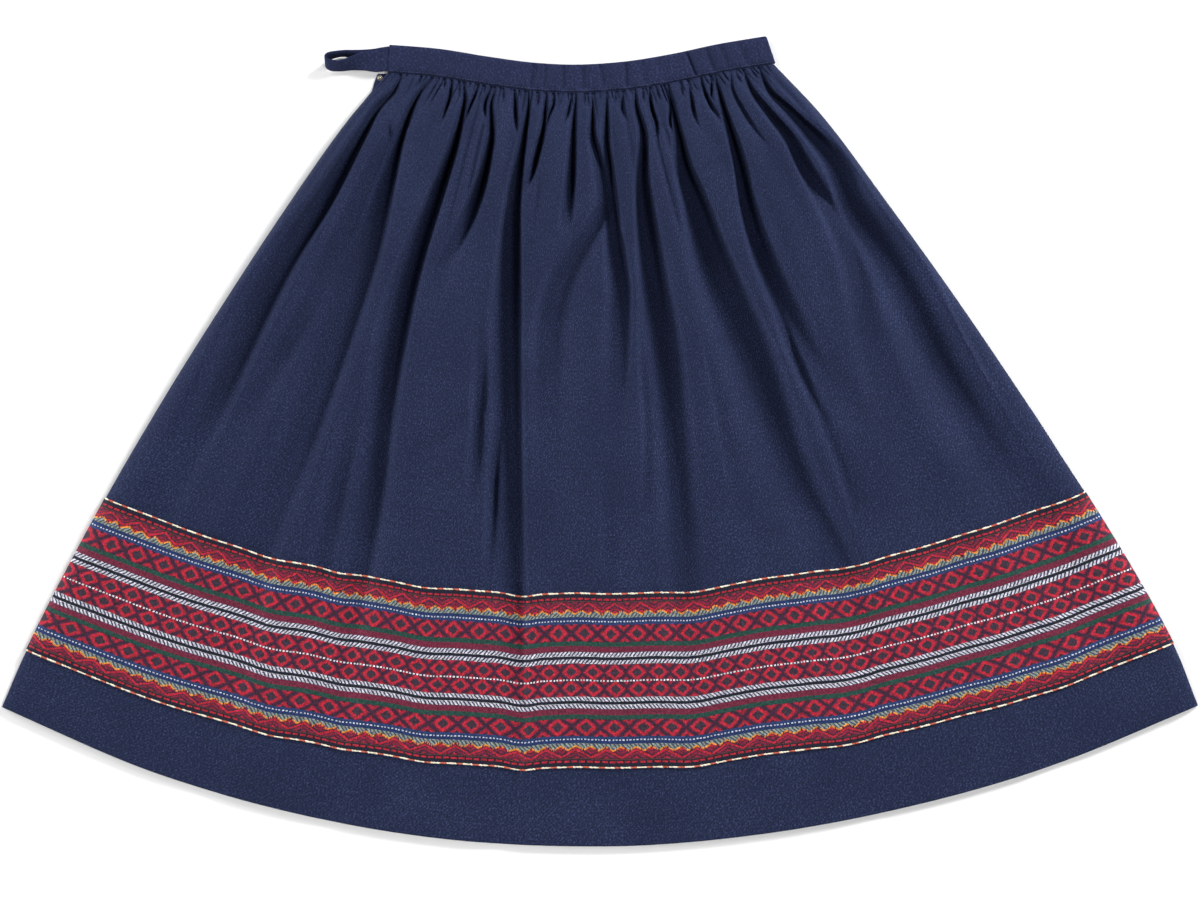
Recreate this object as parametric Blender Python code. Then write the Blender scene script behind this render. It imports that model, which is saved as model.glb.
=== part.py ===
"""A gathered wool skirt, laid flat on its back: a front and a back panel, a waistband that is
folded round at the right side, a loop of the same cloth sewn to its open left end, a placket with
a press stud below the loop, and a woven trim that goes round above the hem.

Lengths in this file are millimetres, and the meshes are made in metres. +X is the wearer's left,
as a viewer in front sees the right-hand side, +Y runs up the skirt to the waist and +Z is up from
the surface that the skirt lies on. The origin is the middle of the skirt's outline, on that surface.
"""

from collections import namedtuple

import bpy
import numpy as np

MM = 0.001

# Cloth: a wall on a slope is higher than it is thick, up to a limit
WOOL = 1.2
TRIM_CLOTH = 0.8
SEAM_GAP = 0.3
STEEPEST_WALL = 2.0
THINNEST_WALL = 0.9
SHARP_ANGLE = 0.9

# Waistband: two layers of wool over a stiffening, folded along its top edge
BAND_DEPTH = 25.2
BAND_THICK = 2.2
BAND_EDGE = 0.7
BAND_BACK_Z = BAND_THICK / 2
BAND_FRONT_Z = BAND_BACK_Z + BAND_THICK + 0.5
BAND_END_LEAN = 4.5
BAND_END_SHARE = 8
BAND_STATIONS = 36
BAND_FOLD_STEPS = 6

# Woven trim: how far down the cloth its edges lie, from the waist seam
TRIM_TOP = 456.0
TRIM_FOOT = 613.0
CLOTH_LENGTH = 685.0
LIFT_START = 4.0
LIFT_RUN = 3.0

# Gathers along the waist seam, with how far each one differs from the next in place, depth and
# length, and the step in its wave that makes it do so
GATHERS = 54
GATHER_SPREAD = 360.0
GATHER_FAN = 0.9
GATHER_WIDTH = 3.3
GATHER_WIDENS = 1 / 14
GATHER_EVEN = 12.0
GATHER_PRESS = 0.6
GATHER_LENGTH = 46.0
Uneven = namedtuple("Uneven", "amount step start")
GATHER_PLACES = Uneven(0.22, 2.4, 0.7)
GATHER_DEPTHS = Uneven(0.22, 1.7, 0.4)
GATHER_LENGTHS = Uneven(0.45, 3.1, 0.0)

# Each line across the cloth lies at one distance down it, called its fall. The table gives the
# ends of the line at the two side edges, and how far its middle hangs below its ends.
Line = namedtuple("Line", "fall left_x left_y right_x right_y sag")
LINES = (
    Line(0, -193.4, 335.3, 157.4, 343.1, 22),
    Line(60, -232.1, 287.6, 201.0, 296.7, 35),
    Line(150, -283.9, 213.9, 258.0, 220.7, 50),
    Line(250, -339.0, 130.1, 319.4, 135.6, 66),
    Line(350, -392.2, 45.5, 379.5, 47.3, 80),
    Line(TRIM_TOP, -449.1, -51.9, 440.4, -45.5, 90),
    Line(TRIM_FOOT, -520.5, -189.3, 520.1, -182.9, 110),
    Line(CLOTH_LENGTH, -543.3, -241.6, 543.3, -240.2, 127),
)

# How the sag is spread across: none at the side edges, all of it in the middle. The waist's own
# curve gives way to the lower one over the first stretch.
Sag = namedtuple("Sag", "share waist below")
SAGS = (
    Sag(0.0, 0.0, 0.0),
    Sag(0.125, 0.21, 0.46),
    Sag(0.25, 0.57, 0.77),
    Sag(0.375, 0.875, 0.95),
    Sag(0.5, 1.0, 1.0),
    Sag(0.625, 0.91, 0.925),
    Sag(0.75, 0.64, 0.735),
    Sag(0.875, 0.27, 0.435),
    Sag(1.0, 0.0, 0.0),
)

WAIST_CURVE_ENDS = 150.0

# How high the front puffs up over the back, before its folds are pressed into it. Its sides roll
# down to the back, in a tighter roll at the waist.
Puff = namedtuple("Puff", "fall height")
PUFFS = (
    Puff(0, 5.6),
    Puff(8, 9.5),
    Puff(20, 14.0),
    Puff(40, 19.5),
    Puff(90, 25.0),
    Puff(160, 25.0),
    Puff(250, 22.0),
    Puff(350, 18.0),
    Puff(TRIM_TOP, 14.0),
    Puff(TRIM_FOOT, 10.5),
    Puff(CLOTH_LENGTH, 8.5),
)
SIDE_ROLL = 16.0
SIDE_SLANT = 0.86
ROLL_AT_WAIST = 0.4
ROLL_FULL_FALL = 60.0

# The folds run down from the waist. A row is one valley: the points that its bottom passes
# through, the share of the puff's height that it takes away at its top, middle and foot, and how
# wide its left and right slopes are below the gathers.
Fold = namedtuple("Fold", "name path press left right")
FOLDS = (
    Fold("left side", ((-195, 328), (-213, 280), (-247, 216), (-284, 161), (-358, 15), (-395, -62)),
         (0.95, 0.85, 0.25), 28, 17),
    Fold("left side low", ((-207, 238), (-253, 136), (-305, 44), (-368, -61)), (0.1, 0.5, 0.15), 20, 30),
    Fold("left roll", ((-163, 322), (-178, 283), (-193, 238), (-206, 164), (-255, 23), (-302, -107),
                       (-330, -235), (-355, -330)), (0.95, 0.6, 0.3), 60, 17),
    Fold("left middle", ((-124, 311), (-135, 252), (-166, 156), (-182, 84), (-203, -61),
                         (-222, -170), (-242, -340)), (0.95, 0.95, 0.3), 30, 18),
    Fold("left middle branch", ((-196, 75), (-227, -8), (-239, -61), (-262, -190)), (0.2, 0.6, 0.2), 20, 22),
    Fold("left short", ((-94, 311), (-100, 269), (-115, 221), (-128, 184), (-139, 158)),
         (0.75, 0.8, 0.15), 22, 14),
    Fold("centre left", ((-74, 302), (-76, 236), (-80, 161), (-77, 20), (-74, -71), (-71, -160),
                         (-71, -240), (-84, -366)), (0.9, 0.95, 0.4), 50, 11),
    Fold("centre left line", ((-86, 44), (-96, -11), (-99, -68), (-102, -126)), (0.2, 0.4, 0.1), 14, 14),
    Fold("centre left soft", ((-104, 90), (-108, 20), (-113, -50)), (0.1, 0.35, 0.1), 20, 20),
    Fold("centre pinch", ((-57, 298), (-63, 249), (-69, 222)), (0.8, 0.7, 0.1), 12, 12),
    Fold("centre short", ((-26, 298), (-28, 236), (-28, 188)), (0.75, 0.65, 0.1), 16, 12),
    Fold("centre soft", ((-9, 298), (0, 256), (7, 219), (-12, 180), (-32, 142), (-41, 83),
                         (-41, -70), (-36, -170), (-25, -330)), (0.7, 0.5, 0.2), 24, 26),
    Fold("centre right", ((5, 288), (10, 244), (18, 180), (24, 129), (22, 56), (14, 0)),
         (0.7, 0.55, 0.1), 26, 18),
    Fold("thin roll", ((40, 149), (41, 63), (44, 5), (41, -53)), (0.2, 0.4, 0.1), 9, 18),
    Fold("right middle", ((39, 288), (41, 222), (49, 166), (63, 77), (74, -68), (80, -160),
                          (82, -345)), (0.9, 0.85, 0.25), 20, 18),
    Fold("right roll", ((73, 302), (78, 251), (105, 170), (151, 77), (186, -25), (223, -107),
                        (246, -200), (255, -330)), (0.9, 0.85, 0.3), 54, 15),
    Fold("right short", ((119, 288), (125, 251), (139, 207), (157, 158), (191, 85), (224, 25)),
         (0.8, 0.7, 0.2), 18, 22),
    Fold("right short line", ((154, 144), (174, 85), (203, 19)), (0.1, 0.35, 0.1), 12, 14),
    Fold("right soft", ((180, 260), (227, 178), (247, 92), (270, 10), (300, -60), (330, -150)),
         (0.2, 0.35, 0.15), 30, 30),
    Fold("right side", ((140, 325), (173, 293), (215, 257), (238, 214), (273, 167), (325, 68),
                        (389, -62), (440, -160), (490, -235)), (0.6, 0.8, 0.2), 54, 19),
    Fold("right edge", ((270, 199), (302, 164), (328, 109), (366, 39), (403, -25)), (0.1, 0.3, 0.1), 8, 40),
)
FADE = 22.0
FOLDS_START = 15.0
FULL_WIDTH_FALL = 170.0
NARROW = 0.38
VALLEY_RADIUS = 1.2
DEEPEST = 0.96

# Rows and columns of the panels. The top rows carry the gathers, so they have twice the columns.
FINE_FALLS = (0, 5, 12, 24, 40)
FALLS = (62, 90, 125, 170, 220, 280, 340, 400, TRIM_TOP, 508, 560, TRIM_FOOT, 650, CLOTH_LENGTH)
FINE_COLUMNS = 4 * GATHERS
COLUMNS = 2 * GATHERS
BACK_FALLS = (0, 8, 17, 38, 63, 91, 93, 170, 270, 370, TRIM_TOP - 4, TRIM_TOP - 1, TRIM_FOOT + 1,
              TRIM_FOOT + 4, CLOTH_LENGTH - 1)
BACK_COLUMNS = 28
BACK_INSET = 1.0
TRIM_BACK_INSET = 2.0

# Placket: a strip sewn along the opening's back edge. A row says how far it reaches out past the
# front panel's edge, or lies in under it.
Placket = namedtuple("Placket", "fall out")
PLACKET = (
    Placket(1, 8.2),
    Placket(8, 6.0),
    Placket(17, 2.1),
    Placket(38, -6.5),
    Placket(63, -10.0),
    Placket(90, -12.0),
)
PLACKET_THICK = 1.2
PLACKET_WIDTH = 8.6
STUD_PLACE = (-200.4, 330.6)
STUD_RADIUS = 2.4
STUD_RIM = 0.5
STUD_DOME_RADIUS = 1.3
STUD_DOME_TOP = 0.7
STUD_DOME = 0.5
STUD_BEAD = 0.1
STUD_SIDES = 16

# The loop's edges, out from the waistband's front layer to the left, round and back to its back
# layer. It lies flat at the waistband and stands on its lower edge at the far end.
Strap = namedtuple("Strap", "top_x top_y top_z foot_x foot_y foot_z")
LOOP = (
    Strap(-201.0, 357.8, 4.2, -203.0, 335.8, 3.9),
    Strap(-213.0, 354.6, 5.6, -214.0, 337.2, 3.2),
    Strap(-224.0, 350.6, 8.6, -224.5, 337.6, 2.2),
    Strap(-234.0, 345.9, 11.6, -234.0, 337.0, 1.4),
    Strap(-241.0, 345.6, 12.6, -241.0, 336.9, 1.2),
    Strap(-246.4, 346.9, 13.0, -246.6, 338.2, 1.2),
    Strap(-249.0, 349.6, 13.2, -249.2, 341.6, 1.2),
    Strap(-246.8, 352.2, 13.2, -246.9, 346.0, 1.2),
    Strap(-241.0, 353.4, 13.0, -241.0, 349.2, 1.2),
    Strap(-233.0, 354.4, 12.0, -233.0, 350.4, 1.2),
    Strap(-224.0, 355.4, 8.2, -223.0, 347.0, 1.1),
    Strap(-214.0, 356.4, 3.2, -212.5, 340.5, 1.1),
    Strap(-203.0, 357.6, 1.2, -203.0, 336.0, 1.1),
)
LOOP_THICK = 1.8
LOOP_INSET = 1.6
LOOP_EDGE = 0.5
LOOP_STEPS = 3

NAVY = (0.027, 0.034, 0.078)
NAVY_BAND = (0.022, 0.029, 0.068)
CRIMSON = (0.33, 0.02, 0.05)
NICKEL = (0.72, 0.68, 0.58)


def smooth(at, known_at, known):
    """A smooth curve through the known values, with no overshoot where they level out."""
    at = np.asarray(at, float)
    x = np.asarray(known_at, float)
    y = np.asarray(known, float)
    slope = np.diff(y) / np.diff(x)
    inner = np.where(slope[1:] * slope[:-1] > 0, (slope[1:] + slope[:-1]) / 2, 0.0)
    tangent = np.concatenate([[slope[0]], inner, [slope[-1]]])
    i = np.clip(np.searchsorted(x, at, side="right") - 1, 0, len(x) - 2)
    step = x[i + 1] - x[i]
    t = np.clip((at - x[i]) / step, 0, 1)
    rise = y[i] * (1 + 2 * t) * (1 - t) ** 2 + y[i + 1] * t * t * (3 - 2 * t)
    return rise + step * (tangent[i] * t * (1 - t) ** 2 - tangent[i + 1] * t * t * (1 - t))


def ease(value):
    """From 0 to 1, level at both ends."""
    t = np.clip(value, 0, 1)
    return t * t * (3 - 2 * t)


def cloth_point(share, fall):
    """Where the cloth lies in plan: share runs from its left edge to its right, fall down it."""
    share, fall = np.broadcast_arrays(np.asarray(share, float), np.asarray(fall, float))
    falls = [line.fall for line in LINES]
    left_x, left_y, right_x, right_y, sag = (
        smooth(fall, falls, [getattr(line, column) for line in LINES])
        for column in ("left_x", "left_y", "right_x", "right_y", "sag")
    )
    shares = [row.share for row in SAGS]
    at_waist = smooth(share, shares, [row.waist for row in SAGS])
    below = smooth(share, shares, [row.below for row in SAGS])
    arc = at_waist + (below - at_waist) * ease(fall / WAIST_CURVE_ENDS)
    x = left_x + (right_x - left_x) * share
    y = left_y + (right_y - left_y) * share - sag * arc
    return x, y


def back_level(fall):
    """The height of the back panel's upper face: it is lifted where the trim lies under it."""
    fall = np.asarray(fall, float)
    lift = ease((fall - TRIM_TOP + LIFT_START) / LIFT_RUN)
    lift = lift * ease((TRIM_FOOT + LIFT_START - fall) / LIFT_RUN)
    return WOOL + (TRIM_CLOTH + SEAM_GAP) * lift


def valley(across, left, right):
    """The form of a valley: 1 along its bottom, 0 past its two slopes, which round over at the top."""
    distance = np.hypot(across, VALLEY_RADIUS) - VALLEY_RADIUS
    return np.clip(1 - distance / np.where(across < 0, left, right), 0, 1) ** 2


def fold_press(fold, x, y, fall):
    """The share of the puff's height that one fold takes away at each place."""
    path = np.array(fold.path[::-1], float)
    centre = smooth(y, path[:, 1], path[:, 0])
    lean = (smooth(y + 1, path[:, 1], path[:, 0]) - smooth(y - 1, path[:, 1], path[:, 0])) / 2
    across = (x - centre) / np.sqrt(1 + lean * lean)
    width = NARROW + (1 - NARROW) * ease(fall / FULL_WIDTH_FALL)
    top, foot = path[-1, 1], path[0, 1]
    along = np.clip((top - y) / (top - foot), 0, 1)
    press = smooth(along, (0, 0.5, 1), fold.press)
    fade = ease(1 - (y - top) / FADE) * ease(1 + (y - foot) / FADE)
    return press * fade * valley(across, fold.left * width, fold.right * width)


def differs(uneven, i):
    """How far the gather numbered i differs from the usual."""
    return uneven.amount * np.sin(uneven.step * i + uneven.start)


def gather_press(share, fall):
    """The same for the small gathers at the waist seam."""
    total = np.zeros(np.broadcast(share, fall).shape)
    spread = GATHER_SPREAD + GATHER_FAN * fall
    width = GATHER_WIDTH + GATHER_WIDENS * fall
    for i in range(GATHERS):
        place = (i + 0.5 + differs(GATHER_PLACES, i)) / GATHERS
        depth = GATHER_PRESS + differs(GATHER_DEPTHS, i)
        length = GATHER_LENGTH * (1 + differs(GATHER_LENGTHS, i))
        fades = ease(1 - (fall - GATHER_EVEN) / length)
        total = total + (depth * fades * valley((share - place) * spread, width, width)) ** 3
    return np.cbrt(total)


def front_height(share, fall):
    """The height of the front panel's outer face above the surface that the skirt lies on."""
    share, fall = np.broadcast_arrays(np.asarray(share, float), np.asarray(fall, float))
    x, y = cloth_point(share, fall)
    lowest = back_level(fall) + SEAM_GAP + WOOL
    level = smooth(fall, [row.fall for row in PUFFS], [row.height for row in PUFFS])
    presses = sum(fold_press(fold, x, y, fall) ** 3 for fold in FOLDS) * ease(fall / FOLDS_START)
    press = np.minimum(np.cbrt(presses + gather_press(share, fall) ** 3), DEEPEST)
    left_x = cloth_point(np.zeros_like(fall), fall)[0]
    right_x = cloth_point(np.ones_like(fall), fall)[0]
    inside = np.minimum(x - left_x, right_x - x) * SIDE_SLANT
    roll = SIDE_ROLL * (ROLL_AT_WAIST + (1 - ROLL_AT_WAIST) * ease(fall / ROLL_FULL_FALL))
    side = np.sqrt(1 - (1 - np.clip(inside / roll, 0, 1)) ** 2)
    return lowest + (level - lowest) * (1 - press) * side


def slopes(grid):
    """For each point of a grid of rows, how much longer the cloth is than its plan: 1 where level."""
    longer = []
    for i, row in enumerate(grid):
        x, y, z = row.T
        along = np.gradient(z, x)
        other = grid[i - 1] if i else grid[1]
        other_z = np.interp(x, other[:, 0], other[:, 2])
        other_y = np.interp(x, other[:, 0], other[:, 1])
        down = (z - other_z) / np.where(np.abs(y - other_y) < 1, 1, y - other_y)
        longer.append(np.sqrt(1 + along**2 + down**2))
    return longer


def front_grid():
    """The front panel's outer points, one array for each row, finer where the gathers are."""
    rows = []
    for fall in FINE_FALLS + FALLS:
        columns = FINE_COLUMNS if fall in FINE_FALLS else COLUMNS
        share = np.linspace(0, 1, columns + 1)
        x, y = cloth_point(share, fall)
        rows.append(np.stack([x, y, front_height(share, fall)], axis=1))
    return rows


def below(rows, thick, floors=None):
    """The rows again, lower by a wall's thickness, and thicker in height where the wall is steep."""
    lower = []
    for i, (row, longer) in enumerate(zip(rows, slopes(rows))):
        z = row[:, 2] - thick * np.minimum(longer, STEEPEST_WALL)
        if floors is not None:
            z = np.maximum(z, floors[i])
        lower.append(np.column_stack([row[:, :2], np.minimum(z, row[:, 2] - thick * THINNEST_WALL)]))
    return lower


def material(name, colour, roughness, metallic=0.0):
    made = bpy.data.materials.new(name)
    made.use_nodes = True
    shader = made.node_tree.nodes["Principled BSDF"]
    shader.inputs["Base Color"].default_value = (*colour, 1.0)
    shader.inputs["Roughness"].default_value = roughness
    shader.inputs["Metallic"].default_value = metallic
    return made


def add_object(name, points, faces, finish):
    """One named object from points in millimetres."""
    mesh = bpy.data.meshes.new(name)
    mesh.from_pydata((np.asarray(points, float) * MM).tolist(), [], faces)
    mesh.validate()
    mesh.materials.append(finish)
    mesh.shade_smooth()
    mesh.set_sharp_from_angle(angle=SHARP_ANGLE)
    obj = bpy.data.objects.new(name, mesh)
    bpy.context.scene.collection.objects.link(obj)
    return obj


def halves(a, b, c, d, points):
    """A four-sided tile as two triangles, split along its shorter diagonal."""
    if np.sum((points[a] - points[c]) ** 2) < np.sum((points[b] - points[d]) ** 2):
        return [(a, b, c), (a, c, d)]
    return [(a, b, d), (b, c, d)]


def wall(name, upper, lower, finish):
    """A cloth wall between two faces, each given as rows of points. A row may have half the
    columns of the row above it. Both faces are split in the same way, so that a piece made from
    this one's points lies evenly on it."""
    starts = np.cumsum([0] + [len(row) for row in upper])
    under = starts[-1]
    points = np.concatenate(upper + lower)
    faces = []
    for r in range(len(upper) - 1):
        a, b = starts[r], starts[r + 1]
        wide, next_wide = len(upper[r]) - 1, len(upper[r + 1]) - 1
        if wide == next_wide:
            tiles = []
            for i in range(wide):
                tiles += halves(a + i, b + i, b + i + 1, a + i + 1, points)
        else:
            tiles = []
            for i in range(next_wide):
                p = a + 2 * i
                tiles += [(p, b + i, p + 1), (p + 1, b + i, b + i + 1), (p + 1, b + i + 1, p + 2)]
        faces += tiles
        faces += [tuple(under + k for k in reversed(tile)) for tile in tiles]
    top_row = [starts[0] + i for i in range(len(upper[0]))]
    foot_row = [starts[-2] + i for i in range(len(upper[-1]))]
    left_edge = [starts[r] for r in range(len(upper))]
    right_edge = [starts[r + 1] - 1 for r in range(len(upper))]
    for edge in (top_row, right_edge, foot_row[::-1], left_edge[::-1]):
        for p, q in zip(edge[:-1], edge[1:]):
            faces.append((p, q, under + q, under + p))
    return add_object(name, points, [tuple(int(k) for k in face) for face in faces], finish)


def ribbon(name, tops, feet, thick, edge, finish):
    """A strap of even thickness between two edges, with its corners taken off."""
    tops = np.asarray(tops, float)
    feet = np.asarray(feet, float)
    across = tops - feet
    middle = (tops + feet) / 2
    forward = np.gradient(middle, axis=0)
    normal = np.cross(forward, across)
    normal /= np.linalg.norm(normal, axis=1)[:, None]
    across /= np.linalg.norm(across, axis=1)[:, None]
    out = normal * thick / 2
    in_from_edge = across * edge
    rings = np.stack(
        [
            feet + in_from_edge + out,
            tops - in_from_edge + out,
            tops,
            tops - in_from_edge - out,
            feet + in_from_edge - out,
            feet,
        ],
        axis=1,
    )
    count, sides = rings.shape[:2]
    faces = [tuple(range(sides)), tuple((count - 1) * sides + k for k in reversed(range(sides)))]
    for i in range(count - 1):
        for k in range(sides):
            after = (k + 1) % sides
            faces.append((i * sides + after, i * sides + k, (i + 1) * sides + k, (i + 1) * sides + after))
    return add_object(name, rings.reshape(-1, 3), faces, finish)


def band_plan():
    """The waistband in plan, from its open end to its fold: its foot, its top and its direction."""
    share = np.linspace(0, 1, BAND_STATIONS)
    line = np.stack(cloth_point(share, 0), axis=1)
    along = np.gradient(line, axis=0)
    along /= np.linalg.norm(along, axis=1)[:, None]
    up = np.stack([-along[:, 1], along[:, 0]], axis=1)
    foot = line + up * SEAM_GAP
    top = foot + up * BAND_DEPTH
    top[:, 0] -= BAND_END_LEAN * share**BAND_END_SHARE
    return foot, top, along, up


def waistband(finish):
    """The front layer from the opening to the right side, the fold there, and the back layer."""
    foot, top, _, _ = band_plan()
    turn = np.linspace(0, np.pi, BAND_FOLD_STEPS + 1)[1:-1]
    radius = (BAND_FRONT_Z - BAND_BACK_Z) / 2
    fold_x = radius * np.sin(turn)
    fold_z = BAND_BACK_Z + radius + radius * np.cos(turn)

    def edge(line):
        front = np.column_stack([line, np.full(BAND_STATIONS, BAND_FRONT_Z)])
        fold = np.column_stack([line[-1, 0] + fold_x, np.full(len(turn), line[-1, 1]), fold_z])
        back = np.column_stack([line, np.full(BAND_STATIONS, BAND_BACK_Z)])[::-1]
        return np.concatenate([front, fold, back])

    return ribbon("waistband", edge(top), edge(foot), BAND_THICK, BAND_EDGE, finish)


def waist_loop(finish):
    """The strap of the table, on a smooth curve through its rows. Its ends meet the waistband's."""
    foot, top, along, up = band_plan()
    end_top = top[0] - along[0] * SEAM_GAP - up[0] * LOOP_INSET
    end_foot = foot[0] - along[0] * SEAM_GAP + up[0] * LOOP_INSET
    first = (*end_top, BAND_FRONT_Z, *end_foot, BAND_FRONT_Z)
    last = (*end_top, BAND_BACK_Z, *end_foot, BAND_BACK_Z)
    rows = np.array([first, *LOOP, last], float)
    at = np.arange(len(rows))
    fine = np.linspace(0, len(rows) - 1, LOOP_STEPS * (len(rows) - 1) + 1)
    curves = np.stack([smooth(fine, at, rows[:, k]) for k in range(6)], axis=1)
    return ribbon("waist_loop", curves[:, :3], curves[:, 3:], LOOP_THICK, LOOP_EDGE, finish)


def back_row(fall, left, right, height):
    """A row of the back's points at one distance down the cloth, between two side edges."""
    x, y = cloth_point(np.linspace(0, 1, BACK_COLUMNS + 1), fall)
    x = left + (x - x[0]) * (right - left) / (x[-1] - x[0])
    return np.column_stack([x, y, np.full(len(x), height)])


def side_edges(fall, inset):
    """The left and right edges of the cloth at one distance down it, drawn in by an inset."""
    x, _ = cloth_point(np.array([0.0, 1.0]), fall)
    return x[0] + inset, x[1] - inset


def back_panel(finish):
    """The back lies flat. Its left edge is sewn to the inner side of the placket."""
    beside_placket = PLACKET[-1].fall + 1
    upper, lower = [], []
    for fall in BACK_FALLS:
        left, right = side_edges(fall, BACK_INSET)
        if fall <= beside_placket:
            left = placket_edge(fall)[0] + PLACKET_WIDTH + SEAM_GAP
        upper.append(back_row(fall, left, right, back_level(fall)))
        lower.append(upper[-1] - (0, 0, WOOL))
    return wall("skirt_back", upper, lower, finish)


def trim_back(finish):
    """The trim's back half, flat under the back panel."""
    falls = (TRIM_TOP, (TRIM_TOP + TRIM_FOOT) / 2, TRIM_FOOT)
    upper = [back_row(fall, *side_edges(fall, TRIM_BACK_INSET), TRIM_CLOTH) for fall in falls]
    lower = [row * (1, 1, 0) for row in upper]
    return wall("trim_back", upper, lower, finish)


def placket_edge(fall):
    """The point on the placket's outer edge at one distance down the cloth."""
    x, y = cloth_point(0.0, fall)
    return x - np.interp(fall, [row.fall for row in PLACKET], [row.out for row in PLACKET]), y


def placket(finish):
    """A flat strip along the opening."""
    rows = []
    for fall in [row.fall for row in PLACKET]:
        x, y = placket_edge(fall)
        rows.append(np.array([[x, y, PLACKET_THICK], [x + PLACKET_WIDTH, y, PLACKET_THICK]]))
    lower = [row * (1, 1, 0) for row in rows]
    return wall("placket", rows, lower, finish)


def press_stud(finish):
    """A turned metal stud: a flat rim with a dome in its middle."""
    foot = PLACKET_THICK + SEAM_GAP
    profile = (
        (STUD_RADIUS, foot),
        (STUD_RADIUS, foot + STUD_RIM),
        (STUD_DOME_RADIUS, foot + STUD_RIM + STUD_BEAD),
        (STUD_DOME_RADIUS * STUD_DOME_TOP, foot + STUD_RIM + STUD_DOME),
    )
    turn = np.arange(STUD_SIDES) * 2 * np.pi / STUD_SIDES
    points = []
    for radius, height in profile:
        for angle in turn:
            points.append((STUD_PLACE[0] + radius * np.cos(angle),
                           STUD_PLACE[1] + radius * np.sin(angle), height))
    faces = [tuple(reversed(range(STUD_SIDES)))]
    last = (len(profile) - 1) * STUD_SIDES
    faces.append(tuple(last + k for k in range(STUD_SIDES)))
    for ring in range(len(profile) - 1):
        for k in range(STUD_SIDES):
            a = ring * STUD_SIDES + k
            b = ring * STUD_SIDES + (k + 1) % STUD_SIDES
            faces.append((a, b, b + STUD_SIDES, a + STUD_SIDES))
    return add_object("press_stud", points, faces, finish)


def main():
    for obj in list(bpy.data.objects):
        bpy.data.objects.remove(obj, do_unlink=True)

    wool = material("navy wool", NAVY, 0.85)
    band_wool = material("navy waistband wool", NAVY_BAND, 0.8)
    woven = material("woven trim", CRIMSON, 0.75)
    metal = material("nickel", NICKEL, 0.3, 1.0)

    front = front_grid()
    falls = FINE_FALLS + FALLS
    inner_floor = [back_level(fall) + SEAM_GAP for fall in falls]
    wall("skirt_front", front, below(front, WOOL, inner_floor), wool)

    trim_rows = [front[i] for i, fall in enumerate(falls) if TRIM_TOP <= fall <= TRIM_FOOT]
    outer = [row + (0, 0, SEAM_GAP + TRIM_CLOTH) for row in trim_rows]
    inner = [row + (0, 0, SEAM_GAP) for row in trim_rows]
    wall("trim_front", outer, inner, woven)

    back_panel(wool)
    trim_back(woven)
    waistband(band_wool)
    waist_loop(band_wool)
    placket(band_wool)
    press_stud(metal)


main()
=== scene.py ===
from collections import namedtuple

import bpy
import numpy as np
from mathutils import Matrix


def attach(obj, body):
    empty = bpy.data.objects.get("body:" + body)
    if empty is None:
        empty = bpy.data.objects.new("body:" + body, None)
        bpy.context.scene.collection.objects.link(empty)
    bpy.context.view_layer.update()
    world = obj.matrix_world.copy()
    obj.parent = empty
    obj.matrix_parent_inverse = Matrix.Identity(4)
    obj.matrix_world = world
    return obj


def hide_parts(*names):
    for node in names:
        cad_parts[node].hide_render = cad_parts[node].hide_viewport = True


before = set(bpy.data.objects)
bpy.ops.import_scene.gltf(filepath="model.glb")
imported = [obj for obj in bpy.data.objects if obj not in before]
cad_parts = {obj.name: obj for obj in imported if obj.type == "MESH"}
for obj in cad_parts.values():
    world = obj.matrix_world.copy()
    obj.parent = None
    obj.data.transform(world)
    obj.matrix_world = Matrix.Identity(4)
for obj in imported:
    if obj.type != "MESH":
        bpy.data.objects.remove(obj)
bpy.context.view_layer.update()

# Front panel: one width of navy wool twill, gathered by hand into the waistband and puffed over the
# back as it lies. Its folds run down from the gathers, and it is hemmed with a blind stitch.
# Sizes here and below are millimetres, and the meshes are made in metres.
MM = 0.001
WOOL = 1.2
TRIM_CLOTH = 0.8
SEAM_GAP = 0.3
TRIM_TOP = 456.0
TRIM_FOOT = 613.0
CLOTH_LENGTH = 685.0
CLOTH_ROUND = 1130.0

# The trim lifts the back that lies over it, from a little above the trim to a little below it
LIFT_START = 4.0
LIFT_RUN = 3.0

# A wall is thicker in height where it is steep, up to so many times, and it keeps at least this
# share of its thickness where it rests on what is under it
STEEPEST_WALL = 2.0
THINNEST_WALL = 0.9

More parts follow.
